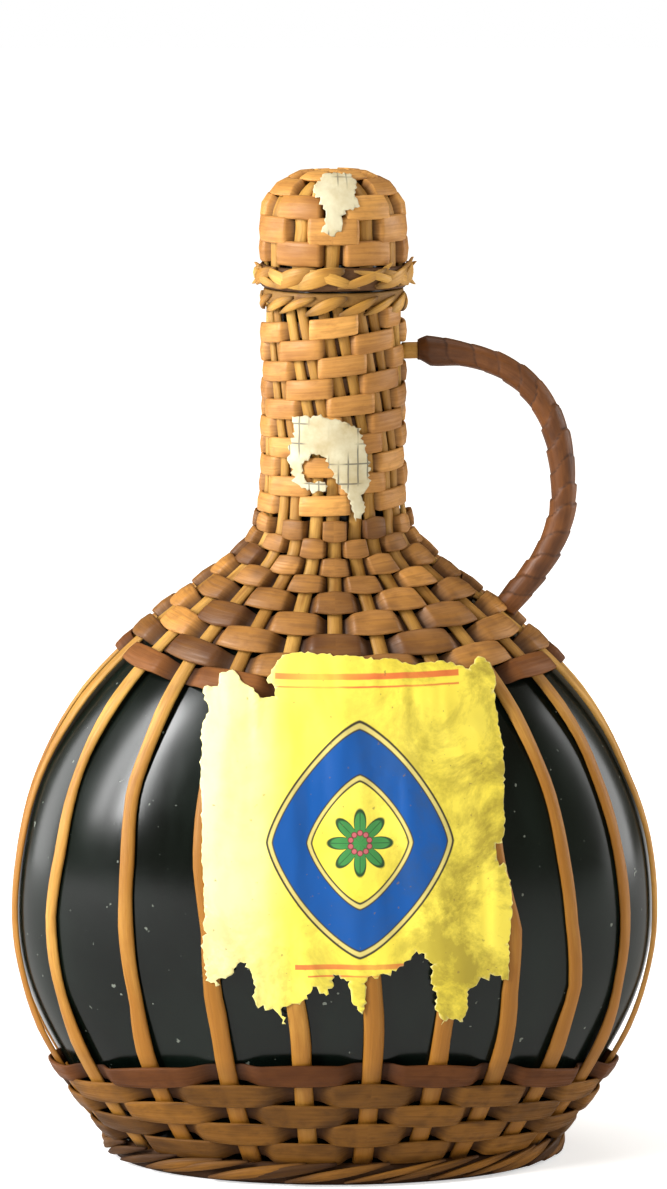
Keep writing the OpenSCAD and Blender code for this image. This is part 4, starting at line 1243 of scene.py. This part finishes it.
# The middle of the ornament, in millimetres
middle_x, middle_z = 6.2, 85.5
px = w.times(w.math("SUBTRACT", split[0], middle_x * mm), 1000.0)
pz = w.times(w.math("SUBTRACT", split[1], middle_z * mm), 1000.0)


def step(w, value, edge, soft=0.12):
    """1 below the edge and 0 above it, with a soft border."""
    return w.ramp(value, (edge - soft, 1.0), (edge + soft, 0.0))


def frame_size(w, x, z, a, b, power=1.35):
    """The size of the frame that runs through a point: a lozenge with bulged sides."""
    fx = w.math("POWER", w.math("DIVIDE", w.math("ABSOLUTE", x), a), power)
    fz = w.math("POWER", w.math("DIVIDE", w.math("ABSOLUTE", z), b), power)
    return w.times(w.math("POWER", w.math("ADD", fx, fz), 1 / power), min(a, b))


size = frame_size(w, px, pz, 22.0, 27.0)
angle = w.math("ARCTAN2", pz, px)
radius = w.math("SQRT", w.math("ADD", w.times(px, px), w.times(pz, pz)))
leaf = w.times(angle, 4.0)
petal_reach = w.math("ADD", w.times(w.math("ABSOLUTE", w.math("COSINE", leaf)), 4.4), 3.4)
petal_edge = w.math("DIVIDE", radius, petal_reach)
petals, petals_in = step(w, petal_edge, 1.0, 0.03), step(w, petal_edge, 0.88, 0.03)
vein = step(w, w.math("ABSOLUTE", w.math("SINE", leaf)), 0.09, 0.03)
bead_count, bead_ring = 10, 2.3
turn = w.math("FRACT", w.times(angle, bead_count / math.tau))
turn = w.times(w.math("SUBTRACT", turn, 0.5), math.tau / bead_count)
bead_x = w.math("SUBTRACT", w.times(radius, w.math("COSINE", turn)), bead_ring)
bead_z = w.times(radius, w.math("SINE", turn))
bead = w.math("SQRT", w.math("ADD", w.times(bead_x, bead_x), w.times(bead_z, bead_z)))
beads, beads_in = step(w, bead, 0.72, 0.06), step(w, bead, 0.55, 0.06)
worn = w.ramp(w.noise(sheet, 70.0, 1.0, 0.4), (0.2, 0.35), (0.6, 1.0))


def rule(w, x0, x1, z0, high):
    """A straight rule on the sheet, from x0 to x1 millimetres, round z0."""
    off = []
    for way, middle, long in ((0, (x0 + x1) / 2, x1 - x0), (1, z0, high)):
        from_middle = w.math("SUBTRACT", w.times(split[way], 1000.0), middle)
        off.append(w.math("SUBTRACT", w.math("ABSOLUTE", from_middle), long / 2))
    return step(w, w.math("MAXIMUM", off[0], off[1]), 0.0, 0.1)


red = rule(w, -14.0, 30.0, 121.4, 1.3)
for args in ((-14.0, 30.0, 119.2, 0.4), (-9.0, 20.0, 56.6, 1.2), (-6.0, 17.0, 54.4, 0.4)):
    red = w.math("MAXIMUM", red, rule(w, *args))
red = w.times(red, w.times(worn, 0.85))
# Painted light: the label's left side is made paler, towards cream
painted_lit_side = w.math("ADD", split[0], w.times(w.noise(sheet, 30.0), 0.008))
painted_lit_side = w.ramp(painted_lit_side, (-0.022, 1.0), (-0.006, 0.0))
stain = w.ramp(w.noise(sheet, 55.0, 6.0, 0.72, 0.4), (0.43, 0.0), (0.58, 1.0))
right = w.ramp(split[0], (-0.004, 0.1), (0.03, 1.0))
low = w.ramp(split[1], (0.045, 0.75), (0.075, 0.2))
spots = w.ramp(w.noise(sheet, 700.0, 2.0, 0.5), (0.70, 0.0), (0.75, 1.0))
clouds = w.ramp(w.noise(sheet, 22.0, 3.0, 0.5), (0.35, 0.0), (0.65, 1.0))
yellow = w.mix(clouds, (0.95, 0.83, 0.13, 1), (0.88, 0.72, 0.06, 1))
# Painted shade: the label is made darker towards its right side
yellow = w.mix(w.times(right, 0.45), yellow, (0.66, 0.5, 0.03, 1))
yellow = w.mix(w.times(painted_lit_side, 0.7), yellow, (0.84, 0.8, 0.5, 1))
yellow = w.mix(w.times(stain, w.math("MAXIMUM", right, low), 0.75), yellow, (0.27, 0.2, 0.02, 1))
gilt, dark, blue = (0.62, 0.52, 0.16, 1), (0.035, 0.03, 0.02, 1), (0.002, 0.075, 0.31, 1)
ink = w.mix(w.times(stain, w.times(right, 0.5)), blue, (0.03, 0.06, 0.11, 1))
face = yellow
for edge, tint in ((22.0, dark), (21.5, gilt), (20.6, dark), (20.3, ink), (12.6, dark), (12.3, gilt),
                   (11.5, dark), (11.1, yellow)):
    inner = step(w, size, edge)
    face = w.mix(inner, face, tint)
for mask, tint in ((w.times(petals, inner), (0.02, 0.06, 0.02, 1)),
                   (w.times(petals_in, inner), (0.05, 0.24, 0.06, 1)),
                   (w.times(vein, petals_in, 0.8), (0.02, 0.09, 0.03, 1)),
                   (beads, (0.12, 0.02, 0.03, 1)), (beads_in, (0.5, 0.12, 0.13, 1)),
                   (red, (0.62, 0.08, 0.035, 1)), (w.times(spots, 0.6), (0.2, 0.13, 0.04, 1))):
    face = w.mix(mask, face, tint)
rim = w.add("ShaderNodeAttribute", attribute_name="rim").outputs["Fac"]
face = w.mix(w.times(w.math("POWER", rim, 2.5), 0.4), face, (0.85, 0.8, 0.45, 1))
w.put(shader.inputs["Base Color"], face)
w.put(shader.inputs["Roughness"], w.ramp(w.noise(sheet, 60.0, 3.0, 0.5), (0.3, 0.42), (0.7, 0.6)))
folds = w.noise(w.vector("MULTIPLY", sheet, (2.0, 1.0, 1.0)), 34.0, 2.0, 0.45, 0.4)
bump(w, shader, folds, 0.7, 0.0026)
shader.inputs["Specular IOR Level"].default_value = 0.25
dress(label, "flask", ["label_paper"], paper)

# %% [markdown]
# ## The scraps of seal
# Two scraps are left of a cream paper seal, one on the neck and one over the edge of the hood.
# They are cut like the label and lie on top of the weaving, so they rise and fall a little.

# %% Lay the scraps
seal_lift = jacket_t + 0.75


def neck_place(x, z):
    wave_off = 0.08 * math.sin(z * 1.36 + 0.6) + 0.08 * math.sin(x * 0.7 + z * 0.4)
    return skin(side_angle(x, z, seal_lift), z, seal_lift + wave_off)


def from_photo(points, middle_x, top_y, top_z, across, up):
    """Pixels of the photograph, turned into millimetres on the sheet."""
    return [((x - middle_x) * across, top_z - (y - top_y) * up) for x, y in points]


# The scraps' outlines were measured in the photograph: each point is a place, counted in pixels
neck_trace = [(295, 470), (293, 450), (300, 434), (297, 419), (318, 417), (345, 421), (366, 430),
              (370, 452), (376, 470), (374, 485), (367, 500), (370, 514), (361, 523), (355, 505),
              (349, 491), (341, 480), (336, 470), (332, 459), (319, 455), (310, 462), (306, 475),
              (312, 484), (325, 482), (333, 487), (328, 493), (312, 492), (300, 485)]
neck_trace_middle_x, neck_trace_top_y, neck_mm_per_pixel = 338.5, 416, 0.2368
neck_scrap_top_z = 183.2
neck_scrap = from_photo(neck_trace, neck_trace_middle_x, neck_trace_top_y, neck_scrap_top_z,
                        neck_mm_per_pixel, neck_mm_per_pixel)


def seal_tears(z):
    """The scraps are torn alike all round."""
    return 0.7


scrap = torn_paper("neck_scrap", neck_scrap, seed=21, cell=1.0, place=neck_place, thick=0.14,
                   tears=seal_tears, step=0.6)
seal_print, w, shader = finish_of("cream seal paper")
sheet, split = sheet_way(w)
mottle = w.ramp(w.noise(sheet, 120.0, 4.0, 0.6), (0.35, 0.0), (0.7, 1.0))
ground = w.mix(mottle, (0.66, 0.61, 0.42, 1), (0.45, 0.36, 0.19, 1))
ruled = []
for way, pitch in ((0, 2.3 * mm), (1, 4.7 * mm)):
    from_line = w.math("SUBTRACT", w.math("FRACT", w.math("DIVIDE", split[way], pitch)), 0.5)
    ruled.append(step(w, w.math("ABSOLUTE", from_line), 0.18 * mm / pitch, 0.08 * mm / pitch))
patch = w.ramp(w.noise(sheet, 75.0, 1.0, 0.4), (0.5, 0.0), (0.56, 1.0))
grid = w.times(w.math("MAXIMUM", ruled[0], ruled[1]), patch, 0.75)
face = w.mix(grid, ground, (0.05, 0.045, 0.04, 1))
w.put(shader.inputs["Base Color"], face)
shader.inputs["Roughness"].default_value = 0.62
bump(w, shader, w.noise(sheet, 300.0, 3.0, 0.6), 0.4, 0.0004)
dress(scrap, "flask", ["neck_seal_paper"], seal_print)


def hood_place(x, s):
    lift = hood_over_h + 1.45 + 0.1 * math.sin(s * 1.2 + x * 0.5)
    t = math.degrees(math.asin(max(-1, min(1, x / (hood_radius(s) + lift)))))
    return hood_point(t, s, lift)


hood_trace = [(331, 172), (346, 170), (361, 172), (366, 185), (362, 200), (367, 212), (352, 215),
              (349, 228), (338, 236), (328, 232), (333, 218), (327, 206), (319, 195), (323, 184)]
hood_trace_middle_x, hood_trace_low_y = 340.5, 236
hood_across_per_pixel, hood_up_per_pixel, hood_scrap_low = 0.236, 0.235, -1.8
hood_outline = from_photo(hood_trace, hood_trace_middle_x, hood_trace_low_y, hood_scrap_low,
                          hood_across_per_pixel, hood_up_per_pixel)
hood_scrap = torn_paper("hood_scrap", hood_outline, seed=22, cell=0.9, place=hood_place, thick=0.14,
                        tears=seal_tears, step=0.6)
dress(hood_scrap, "hood", ["hood_seal_paper"], seal_print)
dress(knot, "hood", ["hood_knot"], woven_cane)

# %% [markdown]
# ## Under the flask
# The flat canes under the glass are straight pieces, and their solids are already right. They
# stay as they are and only get a finish on Object coordinates, because they have no map.

# %% Finish the underside
under_cane, w, shader = finish_of("cane underneath")
where = w.add("ShaderNodeTexCoord").outputs["Object"]
fibres = w.noise(w.vector("MULTIPLY", where, (1.0, 1.0, 3.0)), 420.0, 4.0, 0.6)
w.put(shader.inputs["Base Color"], w.mix(w.ramp(fibres, (0.35, 0.0), (0.7, 1.0)),
                                         (0.52, 0.27, 0.09, 1), (0.24, 0.1, 0.035, 1)))
w.put(shader.inputs["Roughness"], w.ramp(fibres, (0.3, 0.5), (0.7, 0.65)))
bump(w, shader, fibres, 0.4, 0.0003)
for name in ("underside_spokes", "underside_rings"):
    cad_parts[name].data.materials.clear()
    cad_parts[name].data.materials.append(under_cane)

# %% [markdown]
# ## Floor, light and camera
# The flask stands in a white studio. Two tall, narrow lamps stand high at the left. The key
# does most of the lighting, and with the shine beside it makes the long reflections on the
# glass. A weak, broad one fills in from the front right, two at the sides draw the edges, and
# one hangs above. The camera stands a little above the flask, 1.1 m away, with a long lens.

# %% Stage the flask
bm = bmesh.new()
bmesh.ops.create_grid(bm, x_segments=2, y_segments=2, size=6.0)
floor = into_scene(bm, "studio_floor")
white = bpy.data.materials.new("white floor")
white.use_nodes = True
white.node_tree.nodes.clear()
w = Wiring(white.node_tree)
out = w.add("ShaderNodeOutputMaterial")
matt = w.add("ShaderNodeBsdfDiffuse")
matt.inputs["Color"].default_value = (0.86, 0.86, 0.86, 1)
glow = w.add("ShaderNodeEmission")
glow.inputs["Color"].default_value = (1, 1, 1, 1)
path = w.add("ShaderNodeLightPath")
spot = w.add("ShaderNodeTexCoord").outputs["Object"]
far = w.add("ShaderNodeVectorMath", operation="LENGTH")
w.put(far.inputs[0], spot)
lift = w.ramp(far.outputs["Value"], (0.2, 0.5), (0.5, 1.0))
w.put(glow.inputs["Strength"], w.times(path.outputs["Is Camera Ray"], lift))
both = w.add("ShaderNodeAddShader")
w.put(both.inputs[0], matt.outputs[0])
w.put(both.inputs[1], glow.outputs[0])
w.put(out.inputs["Surface"], both.outputs[0])
floor.data.materials.append(white)

world = bpy.data.worlds.new("studio")
bpy.context.scene.world = world
world.use_nodes = True
world.node_tree.nodes.clear()
w = Wiring(world.node_tree)
out = w.add("ShaderNodeOutputWorld")
shell = w.add("ShaderNodeBackground")
path = w.add("ShaderNodeLightPath")
seen = path.outputs["Is Camera Ray"]
w.put(shell.inputs["Color"], w.mix(seen, (1, 0.86, 0.6, 1), (1, 1, 1, 1)))
w.put(shell.inputs["Strength"], w.ramp(seen, (0.0, 0.2), (1.0, 1.0)))
w.put(out.inputs["Surface"], shell.outputs[0])


def lamp(name, place, aim, size_x, size_y, power):
    data = bpy.data.lights.new(name, "AREA")
    data.shape = "RECTANGLE"
    data.size, data.size_y, data.energy = size_x, size_y, power
    light = bpy.data.objects.new(name, data)
    light.location = place
    light.rotation_euler = (Vector(aim) - Vector(place)).to_track_quat("-Z", "Y").to_euler()
    bpy.context.scene.collection.objects.link(light)


lamp("key", (-0.93, -0.64, 0.62), (0, 0, 0.12), 0.2, 0.7, 17.0)
lamp("fill", (0.45, -1.2, 0.6), (0, 0, 0.13), 0.5, 0.5, 3.2)
lamp("right_edge", (0.9, 0.16, 0.32), (0, 0, 0.1), 0.45, 0.7, 6.0)
lamp("shine", (-1.03, -0.42, 0.6), (0, 0, 0.12), 0.14, 0.7, 7.0)
lamp("left_edge", (-0.9, 0.2, 0.3), (0, 0, 0.12), 0.35, 0.6, 4.5)
lamp("top", (0.1, 0.1, 1.0), (0, 0, 0.15), 0.5, 0.5, 2.2)

eye = bpy.data.cameras.new("photo_camera")
eye.sensor_fit, eye.sensor_height, eye.lens = "VERTICAL", 24, 93.75
eye.clip_start, eye.clip_end = 0.01, 30
camera = bpy.data.objects.new("photo_camera", eye)
camera.location = (0, -1.1, 0.317)
camera.rotation_euler = (Vector((0, 0, 0.1377)) - camera.location).to_track_quat("-Z", "Y").to_euler()
bpy.context.scene.collection.objects.link(camera)
bpy.context.scene.camera = camera
bpy.context.scene.view_settings.view_transform = "Standard"
print("triangles in all:", sum(made.values()))
